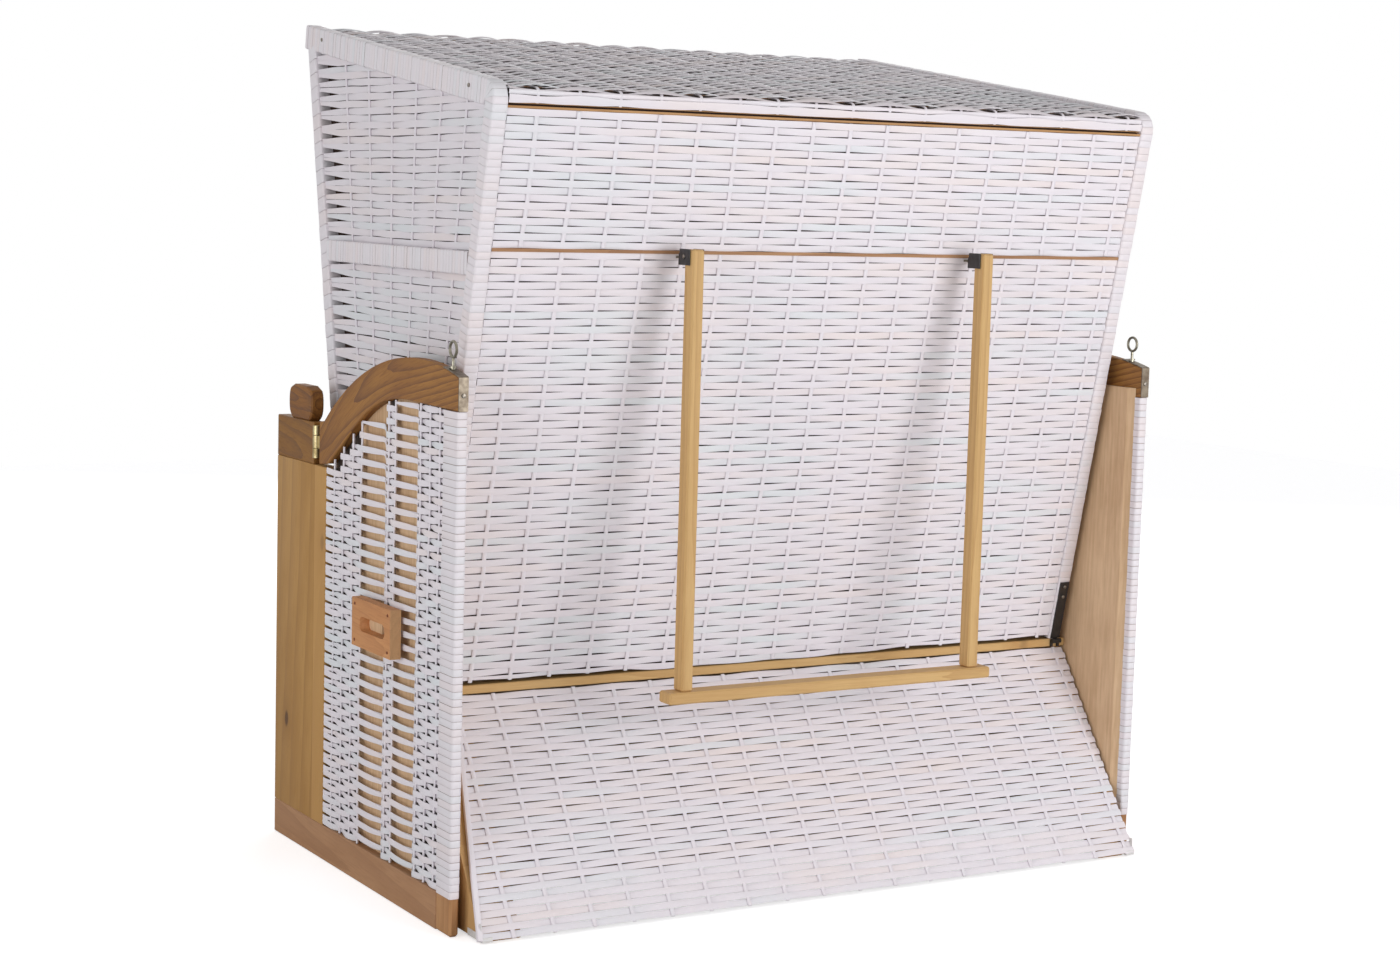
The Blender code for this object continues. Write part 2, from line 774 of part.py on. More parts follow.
def make_flap(paint, cheek_front):
    """The slanted woven flap behind the seat, and the sawn cheek that stands under each end."""
    half_width = room_half_width - flap_side_gap
    outer_top, outer_foot = flap_points(0)
    inner_top, inner_foot = flap_points(flap_thickness)
    outline = [inner_foot, outer_foot, outer_top, inner_top]
    make_profile("rear_flap", outline, (-half_width, half_width), paint["wicker"])
    seat_top, seat_foot = flap_points(flap_thickness + seat_gap)
    slope = (seat_foot[0] - seat_top[0]) / (seat_top[1] - seat_foot[1])
    foot_y = seat_foot[0] + slope * (seat_foot[1] - cheek_lift)
    cheek = [(cheek_front, cheek_lift), (foot_y, cheek_lift), seat_top, (cheek_front, seat_top[1])]
    for side, label in ((1, "left"), (-1, "right")):
        outer = half_width - cheek_inset
        span = mirror_x((outer - cheek_thickness, outer), side)
        make_profile("flap_cheek_" + label, cheek, span, paint["board"])


def footrest_span(side):
    """The x span of a footrest: from the divider to the wall, with running clearance."""
    low = divider_thickness / 2 + slide_clearance
    return mirror_x((low, room_half_width - slide_clearance), side)


def make_footrest(side, label, paint):
    """A low box, open behind, with a finger slot in its front, and the pad on top."""
    span = footrest_span(side)
    front = wall_front_y + footrest_front_setback
    rear = front + footrest_depth
    low = floor_board_lift + floor_board_thickness + seat_gap
    high = low + footrest_height
    box = make_board("footrest_box_" + label, span, (front, rear), (low, high), paint["pine"])
    wall = footrest_board
    hollow = make_board(
        "footrest_hollow_" + label, (span[0] + wall, span[1] - wall),
        (front + wall, rear + cut_overrun), (low + wall, high - wall), None,
    )
    cut(box, hollow)
    middle = (span[0] + span[1]) / 2
    slot_top = high - footrest_slot_drop
    slot = make_board(
        "footrest_slot_" + label,
        (middle - footrest_slot_length / 2, middle + footrest_slot_length / 2),
        (front - cut_overrun, front + wall + cut_overrun),
        (slot_top - footrest_slot_height, slot_top), None,
    )
    slot.modifiers.new("round", "BEVEL").width = footrest_slot_height / 3
    slot.modifiers["round"].segments = 2
    cut(box, slot)
    inset = footrest_cushion_inset
    pad = make_cushion(
        "footrest_cushion_" + label, (span[1] - span[0] - inset * 2, footrest_depth - inset * 2),
        footrest_cushion_height, paint["cloth"], (small_cushion_across, small_cushion_along), 1,
    )
    place = Matrix.Translation((middle, (front + rear) / 2, high + seat_gap))
    pad.data.transform(place)
    return [box, pad]


def make_cushion(name, size, height, material, steps, channels):
    """A filled cushion on its flat face: crowned, drawn in at its sides and sewn in channels."""
    across, along = steps
    width, length = size
    body = bmesh.new()
    crown = cushion_crown_share * height
    pinch = cushion_pinch_share * min(width, length)
    groove = cushion_channel_share * height

    def place(i, j, upper):
        u, v = 2 * i / across - 1, 2 * j / along - 1
        swell = (1 - u**4) * (1 - v**4)
        x = width / 2 * u - math.copysign(pinch, u) * (1 - v**2) * u**4
        y = length / 2 * v - math.copysign(pinch, v) * (1 - u**2) * v**4
        if not upper:
            return x, y, 0
        seam = abs(math.cos(math.pi * channels * (u + 1) / 2)) ** 6 if channels > 1 else 0
        return x, y, height - crown + crown * swell**0.5 - groove * seam * swell

    rims = {}
    for upper in (False, True):
        grid = {}
        for i in range(across + 1):
            for j in range(along + 1):
                grid[i, j] = body.verts.new(place(i, j, upper))
        for i in range(across):
            for j in range(along):
                corners = (grid[i, j], grid[i + 1, j], grid[i + 1, j + 1], grid[i, j + 1])
                body.faces.new(corners)
        rim = [grid[i, 0] for i in range(across)] + [grid[across, j] for j in range(along)]
        rim += [grid[i, along] for i in range(across, 0, -1)]
        rim += [grid[0, j] for j in range(along, 0, -1)]
        rims[upper] = rim
    body.verts.ensure_lookup_table()
    middle = []
    for low, high in zip(rims[False], rims[True]):
        side = (low.co + high.co) / 2
        out = Vector((side.x / width, side.y / length, 0))
        middle.append(body.verts.new(side + out.normalized() * pinch / 2))
    count = len(middle)
    for k in range(count):
        n = (k + 1) % count
        body.faces.new((rims[False][k], rims[False][n], middle[n], middle[k]))
        body.faces.new((middle[k], middle[n], rims[True][n], rims[True][k]))
    cushion = finish_mesh(name, body, material)
    cushion.data.shade_smooth()
    return cushion


def make_seat_cushion(paint):
    half_width = hood_rear_half_width - hood_frame_thickness - lining_thickness - cushion_side_gap
    front = wall_front_y + deck_overhang
    rear = rear_plane_y(seat_top_z) - back_thickness - cushion_side_gap
    cushion = make_cushion(
        "seat_cushion", (half_width * 2, rear - front), seat_cushion_height, paint["cloth"],
        (cushion_across, cushion_along), 4,
    )
    cushion.data.transform(Matrix.Translation((0, (front + rear) / 2, seat_top_z)))


def make_hood_side(side, label, paint):
    """One side of the hood: the wrapped frame with its middle band, and its woven panel."""
    foot_front = (front_plane_y(hood_foot_z), hood_foot_z)
    foot_rear = (hood_rear_foot_y, hood_foot_z)
    outline = [foot_front, foot_rear] + hood_corner(0) + [(hood_front_top_y, overall_height)]
    outer = hood_rear_half_width
    span = mirror_x((outer - hood_frame_thickness, outer), side)
    frame = toe_in(make_profile("hood_side_frame_" + label, outline, span, paint["wicker"]))
    wide = (outer - hood_frame_thickness - cut_overrun, outer + cut_overrun)
    low_z = mid_band_top_z - mid_band_height
    behind = (wide[0], outer - mid_band_thickness)
    windows = (
        ("upper", mid_band_top_z, None, wide),
        ("lower", hood_foot_z + bottom_band_height, low_z, wide),
        ("rebate", low_z - cut_overrun, mid_band_top_z + cut_overrun, behind),
    )
    for window, low, high, reach_x in windows:
        outline = window_outline(low, high, 0)
        name = "hood_window_%s_%s" % (window, label)
        cut(frame, toe_in(make_profile(name, outline, mirror_x(reach_x, side), None)))
    inner = outer - mid_band_thickness - seat_gap
    panel_x = mirror_x((inner - hood_weave_thickness, inner), side)
    outline = window_outline(hood_foot_z + bottom_band_height, None, seat_gap)
    panel = toe_in(make_profile("hood_side_weave_" + label, outline, panel_x, paint["wicker"]))
    return [frame, panel]


def window_outline(low, high, inset):
    """The opening between the hood's posts and two heights, or up to the top band."""
    low += inset

    def front(z):
        return front_plane_y(z) + front_post_width + inset

    def rear(z):
        return rear_plane_y(z) - rear_post_width - inset

    if high is not None:
        return [(front(low), low), (rear(low), low), (rear(high), high), (front(high), high)]
    drop = top_band_height + inset
    rear_top = line_crossing(rear, lambda y: roof_top_z(y) - drop)
    front_top = line_crossing(front, lambda y: roof_top_z(y) - drop)
    return [(front(low), low), (rear(low), low), rear_top, front_top]


def make_roof(paint):
    """The woven roof between the side frames, bent down over the back, with its front rail."""
    low_z = back_top_z() + seat_gap
    inside = [(y, z) for y, z in hood_corner(roof_thickness)]
    inner_drop = roof_thickness / math.cos(roof_slope)
    low_shift = roof_thickness / math.cos(hood_rear_lean)
    outline = [(rear_plane_y(low_z), low_z)] + hood_corner(0)
    outline += [
        (hood_front_top_y, overall_height), (hood_front_top_y, overall_height - inner_drop),
    ]
    outline += list(reversed(inside)) + [(rear_plane_y(low_z) - low_shift, low_z)]
    half = hood_rear_half_width - hood_frame_thickness - seat_gap
    roof = toe_in(make_profile("roof_weave", outline, (-half, half), paint["wicker"]))
    slope = math.tan(roof_slope)
    low = overall_height - roof_thickness - front_post_width
    front, back = hood_front_top_y, hood_front_top_y + roof_rail_height
    top = overall_height - roof_thickness / 2
    lip = [(front, low), (back, low), (back, top - slope * roof_rail_height), (front, top)]
    join(roof, toe_in(make_profile("roof_front_lip", lip, (-half, half), None)))
    rail = make_roof_rail(paint)
    return [roof, rail]


def make_roof_rail(paint):
    """The rail across the top of the hood's back, inside the bend of the roof."""
    low_z = back_top_z() + seat_gap
    shift = (roof_thickness + seat_gap) / math.cos(hood_rear_lean)
    drop = (roof_thickness + seat_gap) / math.cos(roof_slope)

    def front(z):
        return rear_plane_y(z) - shift - roof_rail_depth

    top = line_crossing(front, lambda y: roof_top_z(y) - drop)
    outline = [top, (front(low_z), low_z), (rear_plane_y(low_z) - shift, low_z)]
    outline += hood_corner(roof_thickness + seat_gap)
    half = hood_rear_half_width - hood_frame_thickness - seat_gap * 3
    return toe_in(make_profile("roof_rear_rail", outline, (-half, half), paint["wicker"]))


def back_top_z():
    top = line_crossing(rear_plane_y, roof_top_z)[1]
    return top - back_top_drop


def slab_outline(low, high, depth, offset=0.0):
    """A slab parallel to the hood's back, between two heights, set in by an offset."""
    outline = []
    for z, into in ((low, offset), (high, offset), (high, offset + depth), (low, offset + depth)):
        shift = into / math.cos(hood_rear_lean)
        outline.append((rear_plane_y(z) - shift, z))
    return outline


def make_back(paint):
    """The two woven back panels and the ribbed rail that shows between them."""
    half = hood_rear_half_width - hood_frame_thickness - back_side_gap
    rib = mid_rail_rib / 2
    top = back_top_z()
    upper = make_profile(
        "back_weave_upper", slab_outline(back_split_z + rib + seat_gap, top, back_thickness),
        (-half, half), paint["wicker"],
    )
    lower = make_profile(
        "back_weave_lower", slab_outline(hood_foot_z, back_split_z - rib - seat_gap, back_thickness),
        (-half, half), paint["wicker"],
    )
    inner = back_thickness + seat_gap
    body = slab_outline(
        back_split_z - mid_rail_height / 2, back_split_z + mid_rail_height / 2,
        mid_rail_depth, inner,
    )
    front = slab_outline(back_split_z - rib, back_split_z + rib, inner + seat_gap)
    outline = [front[0], front[1], front[2], body[1], body[2], body[3], body[0], front[3]]
    rail = toe_in(make_profile("back_mid_rail", outline, (-half, half), paint["pine"]))
    return [upper, lower, rail]


def make_lining(paint):
    """The cloth lining of the cabin: both sides, the back and the ceiling, as one thin shell."""
    outer_half = hood_rear_half_width - hood_frame_thickness - seat_gap
    back_in = back_thickness + mid_rail_depth + seat_gap * 2
    lip = front_post_width

    def outline(inset, front_extra, low):
        def rear(z):
            return rear_plane_y(z) - (back_in + inset) / math.cos(hood_rear_lean)

        def front(z):
            return front_plane_y(z) + lip - front_extra

        drop = (roof_thickness + seat_gap + inset) / math.cos(roof_slope)
        return [
            (front(low), low), (rear(low), low),
            line_crossing(rear, lambda y: roof_top_z(y) - drop),
            line_crossing(front, lambda y: roof_top_z(y) - drop),
        ]

    shell = toe_in(make_profile(
        "hood_lining", outline(0, 0, lining_bottom_z), (-outer_half, outer_half), paint["cloth"],
    ))
    inner_half = outer_half - lining_thickness
    room = outline(lining_thickness, lip * 2, lining_bottom_z - cut_overrun)
    return [cut(shell, toe_in(make_profile("cabin_room", room, (-inner_half, inner_half), None)))]


def make_back_cushion(paint):
    """The padded backrest, leaning on the lined back of the hood."""
    half = hood_front_half_width - hood_frame_thickness - lining_thickness - cushion_side_gap
    cushion = make_cushion(
        "back_cushion", (half * 2, back_cushion_height), back_cushion_thickness, paint["cloth"],
        (cushion_across, cushion_along), 4,
    )
    inset = back_thickness + mid_rail_depth + lining_thickness + seat_gap * 3
    low = seat_top_z + seat_cushion_height + back_cushion_lift
    rise = back_cushion_height / 2
    stand = Matrix.Rotation(math.radians(90) + hood_rear_lean * -1, 4, "X")
    middle_z = low + rise * math.cos(hood_rear_lean) + back_cushion_thickness * math.sin(hood_rear_lean)
    middle_y = rear_plane_y(middle_z) - inset / math.cos(hood_rear_lean)
    cushion.data.transform(Matrix.Translation((0, middle_y, middle_z)) @ stand)
    return [cushion]


def pivot_span(side):
    """The x span of a strap hinge, on the hood's rear post."""
    outer = hood_rear_half_width - pivot_side_inset
    return outer - pivot_leaf_width, outer


def make_hood_strap(side, label, paint):
    """The black strap down the hood's rear post, ending in the knuckle of its hinge."""
    low_x, high_x = pivot_span(side)
    width = high_x - low_x
    knuckle = width * pivot_knuckle_share
    middle = (low_x + high_x) / 2
    inner, outer = pivot_pin_radius + pin_clearance, pivot_barrel_radius
    profile = [(inner, 0), (outer, 0), (outer, knuckle), (inner, knuckle), (inner, 0)]
    start = Vector((side * (middle - side * knuckle / 2), pivot_y, pivot_z))
    if side < 0:
        start.x = -middle - knuckle / 2
    strap = make_turned("hood_strap_" + label, profile, start, (1, 0, 0), paint["black"], 16)
    low_z = pivot_z + (inner + outer) / 2
    high_z = pivot_z + pivot_leaf_length
    leaf = []
    for z, out in (
        (low_z, seat_gap), (high_z, seat_gap),
        (high_z, seat_gap + pivot_leaf_thickness), (low_z, seat_gap + pivot_leaf_thickness),
    ):
        leaf.append((rear_plane_y(z) + out / math.cos(hood_rear_lean), z))
    wide_low = pivot_z + pivot_barrel_radius + knuckle_gap
    wide = [(y, z) for y, z in leaf]
    wide[0] = (rear_plane_y(wide_low) + seat_gap / math.cos(hood_rear_lean), wide_low)
    wide[3] = (wide[0][0] + pivot_leaf_thickness / math.cos(hood_rear_lean), wide_low)
    tongue_x = mirror_x((middle - knuckle / 2, middle + knuckle / 2), side)
    join(strap, make_profile("strap_tongue_" + label, leaf, tongue_x, None))
    return [join(strap, make_profile("strap_leaf_" + label, wide, mirror_x((low_x, high_x), side), None))]


def make_pivot_bracket(side, label, paint):
    """The still half of a strap hinge: two knuckles, the pin and the leaf on the rear rail."""
    low_x, high_x = pivot_span(side)
    width = high_x - low_x
    end = width * (1 - pivot_knuckle_share) / 2 - knuckle_gap
    r, pin = pivot_barrel_radius, pivot_pin_radius
    profile = [
        (0, 0), (r, 0), (r, end), (pin, end), (pin, width - end), (r, width - end),
        (r, width), (0, width),
    ]
    start = (min(side * low_x, side * high_x), pivot_y, pivot_z)
    bracket = make_turned("pivot_bracket_" + label, profile, start, (1, 0, 0), paint["black"], 16)
    leaf_y = (hood_rear_foot_y + seat_gap, hood_rear_foot_y + seat_gap + pivot_leaf_thickness)
    leaf_z = (seat_top_z - rear_rail_height, pivot_z)
    for number, (low, high) in enumerate(((low_x, low_x + end), (high_x - end, high_x))):
        span = mirror_x((low, high), side)
        join(bracket, make_board("bracket_leaf_%s_%d" % (label, number), span, leaf_y, leaf_z, None))


def make_prop_bracket(side, label, paint):
    """The forked steel bracket on the hood's middle rail, with the pin that the leg hangs on."""
    inner = prop_leg_width / 2 + prop_ear_clearance
    outer = inner + prop_ear_thickness
    centre = side * prop_leg_x
    top = prop_pivot_z + prop_ear_height / 2
    low = prop_pivot_z - prop_ear_height / 2
    rear = prop_pivot_y + prop_ear_reach
    base = slab_outline(low, top, prop_ear_thickness, -prop_ear_thickness - seat_gap)
    bracket = make_profile(
        "prop_bracket_" + label, base, (centre - outer, centre + outer), paint["black"],
    )
    ear = [base[3], (rear, low), (rear, top), base[2]]
    for number, (near, far) in enumerate(((-outer, -inner), (inner, outer))):
        span = (centre + near, centre + far)
        join(bracket, make_profile("prop_ear_%s_%d" % (label, number), ear, span, None))
    pin = make_rod(
        "prop_pin_" + label, prop_pin_radius,
        (centre - (inner + outer) / 2, prop_pivot_y, prop_pivot_z),
        (centre + (inner + outer) / 2, prop_pivot_y, prop_pivot_z), steps=12,
    )
    return [join(bracket, pin)]


def make_prop(paint):
    """The prop frame: two legs that hang on the brackets, and the foot bar they stand in."""
    bar_top = prop_bar_bottom_z + prop_bar_height
    half_bar, half_depth = prop_bar_length / 2, prop_bar_depth / 2
    bar_y = (prop_pivot_y - half_depth, prop_pivot_y + half_depth)
    bar_z = (prop_bar_bottom_z, bar_top)
    pieces = [make_board("prop_crossbar", (-half_bar, half_bar), bar_y, bar_z, paint["pine"], prop_ease)]
    half_width, half_leg = prop_leg_width / 2, prop_leg_depth / 2
    leg_y = (prop_pivot_y - half_leg, prop_pivot_y + half_leg)
    leg_z = (bar_top + seat_gap, prop_pivot_z + prop_leg_top)
    for side, label in ((1, "left"), (-1, "right")):
        centre = side * prop_leg_x
        leg_x = (centre - half_width, centre + half_width)
        leg = make_board("prop_leg_" + label, leg_x, leg_y, leg_z, paint["pine"], prop_ease)
        bore = make_rod(
            "leg_bore_" + label, prop_pin_radius + pin_clearance,
            (leg_x[0] - cut_overrun, prop_pivot_y, prop_pivot_z),
            (leg_x[1] + cut_overrun, prop_pivot_y, prop_pivot_z), steps=12,
        )
        pieces.append(cut(leg, bore))
    return pieces


def make_paints():
    return {
        "wicker": make_material("white wicker", (0.78, 0.75, 0.77), 0.55),
        "board": make_material("oiled board", (0.42, 0.25, 0.10), 0.5),
        "arm": make_material("dark arm wood", (0.25, 0.12, 0.045), 0.45),
        "handle": make_material("reddish grip wood", (0.42, 0.20, 0.09), 0.5),
        "panel": make_material("plain tan panel", (0.48, 0.32, 0.20), 0.6),
        "pine": make_material("yellow pine", (0.52, 0.34, 0.14), 0.5),
        "brass": make_material("brass", (0.75, 0.58, 0.28), 0.3, 1.0),
        "zinc": make_material("zinc plate", (0.55, 0.55, 0.52), 0.35, 1.0),
        "steel": make_material("grey steel", (0.28, 0.27, 0.24), 0.45, 1.0),
        "black": make_material("black steel", (0.02, 0.018, 0.018), 0.4, 0.6),
        "cloth": make_material("striped cloth base", (0.62, 0.60, 0.56), 0.9),
    }


def build():
    clear_scene()
    paint = make_paints()
    hood_pivot = make_pivot("hood_pivot", (0, pivot_y, pivot_z))
    prop_pivot = make_pivot("prop_pivot", (0, prop_pivot_y, prop_pivot_z))
    make_seat_box(paint)
    make_seat_cushion(paint)
    hood = make_roof(paint) + make_back(paint) + make_lining(paint) + make_back_cushion(paint)
    for side, label in ((1, "left"), (-1, "right")):
        make_wall(side, label, paint)
        make_block_leaf(side, label, paint)
        arm_pivot = make_pivot("arm_pivot_" + label, (side * axis_x, axis_y, hinge_bottom_z))
        hang_on(arm_pivot, make_arm(side, label, paint))
        eye_pivot = make_pivot("eye_pivot_" + label, (side * eye_x, eye_y, arm_tail_z))
        hang_on(eye_pivot, [make_eye_bolt(side, label, paint)])
        slide = make_pivot("footrest_slide_" + label, (sum(footrest_span(side)) / 2, wall_front_y, 0))
        hang_on(slide, make_footrest(side, label, paint))
        make_pivot_bracket(side, label, paint)
        hood += make_hood_side(side, label, paint)
        hood += make_hood_strap(side, label, paint)
        hood += make_prop_bracket(side, label, paint)
    hang_on(hood_pivot, hood)
    hang_on(prop_pivot, make_prop(paint))


build()
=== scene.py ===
"""A wide hooded beach chair of white wicker on oiled wooden frames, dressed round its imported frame."""

import math

import bmesh
import bpy
import numpy as np
from mathutils import Matrix, Vector


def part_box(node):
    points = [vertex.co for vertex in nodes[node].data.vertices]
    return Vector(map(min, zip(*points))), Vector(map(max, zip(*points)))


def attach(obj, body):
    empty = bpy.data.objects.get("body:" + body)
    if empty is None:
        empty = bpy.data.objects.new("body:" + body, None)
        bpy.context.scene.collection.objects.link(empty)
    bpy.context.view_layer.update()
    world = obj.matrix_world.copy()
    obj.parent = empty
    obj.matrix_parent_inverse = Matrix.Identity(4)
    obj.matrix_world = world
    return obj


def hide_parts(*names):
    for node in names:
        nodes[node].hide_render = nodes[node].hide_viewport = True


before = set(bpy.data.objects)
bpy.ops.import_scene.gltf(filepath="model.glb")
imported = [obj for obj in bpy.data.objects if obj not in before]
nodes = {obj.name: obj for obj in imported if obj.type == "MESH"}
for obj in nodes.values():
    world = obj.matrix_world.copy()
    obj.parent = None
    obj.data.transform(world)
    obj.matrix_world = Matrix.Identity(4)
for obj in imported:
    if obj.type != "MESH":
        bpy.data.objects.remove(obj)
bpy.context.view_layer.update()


# Camera
# It stands behind the chair on the left wall's side, at about the height of the carved arms'
# crowns, and is turned a degree and a half, as the photograph was taken.
view_place = Vector((2.5970637, 4.34083682, 1.28886873))
view_way = Vector((-0.50654792, -0.85508134, -0.11065759)).normalized()
view_roll = 0.027748
level = view_way.cross(Vector((0, 0, 1))).normalized()
upright = level.cross(view_way)
view_right = level * math.cos(view_roll) + upright * math.sin(view_roll)
view_up = upright * math.cos(view_roll) - level * math.sin(view_roll)
lens = bpy.data.cameras.new("camera")
lens.lens = 65.892
lens.sensor_width = 36.0
lens.clip_end = 60.0
camera = bpy.data.objects.new("camera", lens)
bpy.context.scene.collection.objects.link(camera)
turn = Matrix((view_right, view_up, -view_way)).transposed().to_4x4()
camera.matrix_world = Matrix.Translation(view_place) @ turn
bpy.context.scene.camera = camera
bpy.context.scene.view_settings.view_transform = "Standard"


# Floor and light
# A pale floor that melts into a white room. A soft lamp stands low behind the chair's right
# rear corner, so that the roof is darker than the back, and the room fills the rest.
def feed(socket, value):
    """Gives a socket a value, or links it to the socket that feeds it."""
    if isinstance(value, bpy.types.NodeSocket):
        socket.id_data.links.new(value, socket)
    else:
        socket.default_value = value


def give(node, **inputs):
    """Fills a node's sockets by name."""
    for key, value in inputs.items():
        feed(node.inputs[key.replace("_", " ")], value)
    return node


def add_node(tree, kind, settings=None, **inputs):
    made = tree.nodes.new("ShaderNode" + kind)
    for key, value in (settings or {}).items():
        setattr(made, key, value)
    return give(made, **inputs)


def maths(tree, way, *values):
    made = add_node(tree, "Math", {"operation": way})
    for socket, value in zip(made.inputs, values):
        feed(socket, value)
    return made.outputs[0]


def colour(red, green, blue):
    """A colour as it looks on screen, from 0 to 255, turned into the light that a shader takes."""
    parts = [value / 255 for value in (red, green, blue)]
    return (*(p / 12.92 if p < 0.04045 else ((p + 0.055) / 1.055) ** 2.4 for p in parts), 1.0)


def new_material(name):
    material = bpy.data.materials.new(name)
    material.use_nodes = True
    return material, material.node_tree, material.node_tree.nodes["Principled BSDF"]


def choose(*pieces):
    """Leaves edit mode and selects these pieces, the first as the active one."""
    if bpy.context.object and bpy.context.object.mode != "OBJECT":
        bpy.ops.object.mode_set(mode="OBJECT")
    bpy.ops.object.select_all(action="DESELECT")
    for piece in reversed(pieces):
        piece.select_set(True)
        bpy.context.view_layer.objects.active = piece


floor_size, floor_z, floor_glow = 14.0, -0.0006, 0.62
choose()
bpy.ops.mesh.primitive_grid_add(x_subdivisions=8, y_subdivisions=8, size=floor_size, location=(0, 0, floor_z))
floor = bpy.context.object
floor.name = "studio_floor"
paper, tree, shader = new_material("pale_floor")
seen = add_node(tree, "LightPath").outputs["Is Camera Ray"]
give(
    shader, Base_Color=colour(236, 236, 238), Roughness=0.9, Specular_IOR_Level=0.1,
    Emission_Color=(1, 1, 1, 1), Emission_Strength=maths(tree, "MULTIPLY", seen, floor_glow),
)
floor.data.materials.append(paper)

room = bpy.data.worlds.new("room")
room.use_nodes = True
bpy.context.scene.world = room
tree = room.node_tree
ray = add_node(tree, "LightPath").outputs
seen = maths(tree, "MAXIMUM", ray["Is Camera Ray"], ray["Is Glossy Ray"])
seen = maths(tree, "MAXIMUM", seen, ray["Is Transmission Ray"])
fill_level = 0.41
give(
    tree.nodes["Background"], Color=(1, 1, 1, 1),
    Strength=maths(tree, "MULTIPLY_ADD", seen, 1 - fill_level, fill_level),
)


def soft_lamp(name, azimuth, elevation, distance, size, power):
    """A square soft box that looks at the middle of the chair."""
    a, e = math.radians(azimuth), math.radians(elevation)
    way = Vector((math.sin(a) * math.cos(e), -math.cos(a) * math.cos(e), math.sin(e)))
    light = bpy.data.lights.new(name, "AREA")
    light.size = size
    light.energy = power
    lamp = bpy.data.objects.new(name, light)
    bpy.context.scene.collection.objects.link(lamp)
    lamp.location = Vector((0, 0, 0.8)) + way * distance
    lamp.rotation_mode = "QUATERNION"
    lamp.rotation_quaternion = way.to_track_quat("Z", "Y")


soft_lamp("key", azimuth=200, elevation=5, distance=4.6, size=2.3, power=92)
soft_lamp("side_fill", azimuth=110, elevation=4, distance=5.5, size=3.0, power=92)
soft_lamp("front_fill", azimuth=-30, elevation=10, distance=6.0, size=3.0, power=85)


# Boards of the walls, the cheeks under the flap, and the end blocks with their knobs
# Planed softwood, oiled to a golden brown. The grain stands in the front boards and cheeks
# and lies in the plinths; the blocks and knobs at the front are a darker, redder wood.
def mix_colour(tree, share, first, second, way="MIX"):
    """The colour between two colours, by a share that changes over the surface."""
    made = add_node(tree, "Mix", {"data_type": "RGBA", "blend_type": way})
    for number, value in ((0, share), (6, first), (7, second)):
        feed(made.inputs[number], value)
    return made.outputs[2]


def ramp(tree, value, low, high, start=0.0, end=1.0, way="LINEAR"):
    """Stretches the values from low to high over those from start to end."""
    return add_node(
        tree, "MapRange", {"interpolation_type": way}, Value=value, From_Min=low, From_Max=high, To_Min=start,
        To_Max=end,
    ).outputs[0]


def noise(tree, place, scale, detail, rough):
    return add_node(tree, "TexNoise", Vector=place, Scale=scale, Detail=detail, Roughness=rough).outputs["Fac"]


def remap(tree, place, size=(1, 1, 1), turn=(0, 0, 0), shift=(0, 0, 0)):
    return add_node(tree, "Mapping", Vector=place, Scale=size, Rotation=turn, Location=shift).outputs[0]


def object_place(tree):
    return add_node(tree, "TexCoord").outputs["Object"]


def dented(tree, height, strength, depth):
    return add_node(tree, "Bump", Height=height, Strength=strength, Distance=depth).outputs[0]


def new_group(name, **ports):
    """A group with an input for each name, which gives a colour and a relief."""
    group = bpy.data.node_groups.new(name, "ShaderNodeTree")
    for kind, names in ports.items():
        for port in names:
            group.interface.new_socket(port, in_out="INPUT", socket_type="NodeSocket" + kind)
    group.interface.new_socket("Colour", in_out="OUTPUT", socket_type="NodeSocketColor")
    group.interface.new_socket("Relief", in_out="OUTPUT", socket_type="NodeSocketFloat")
    return group, group.nodes.new("NodeGroupInput").outputs, group.nodes.new("NodeGroupOutput")


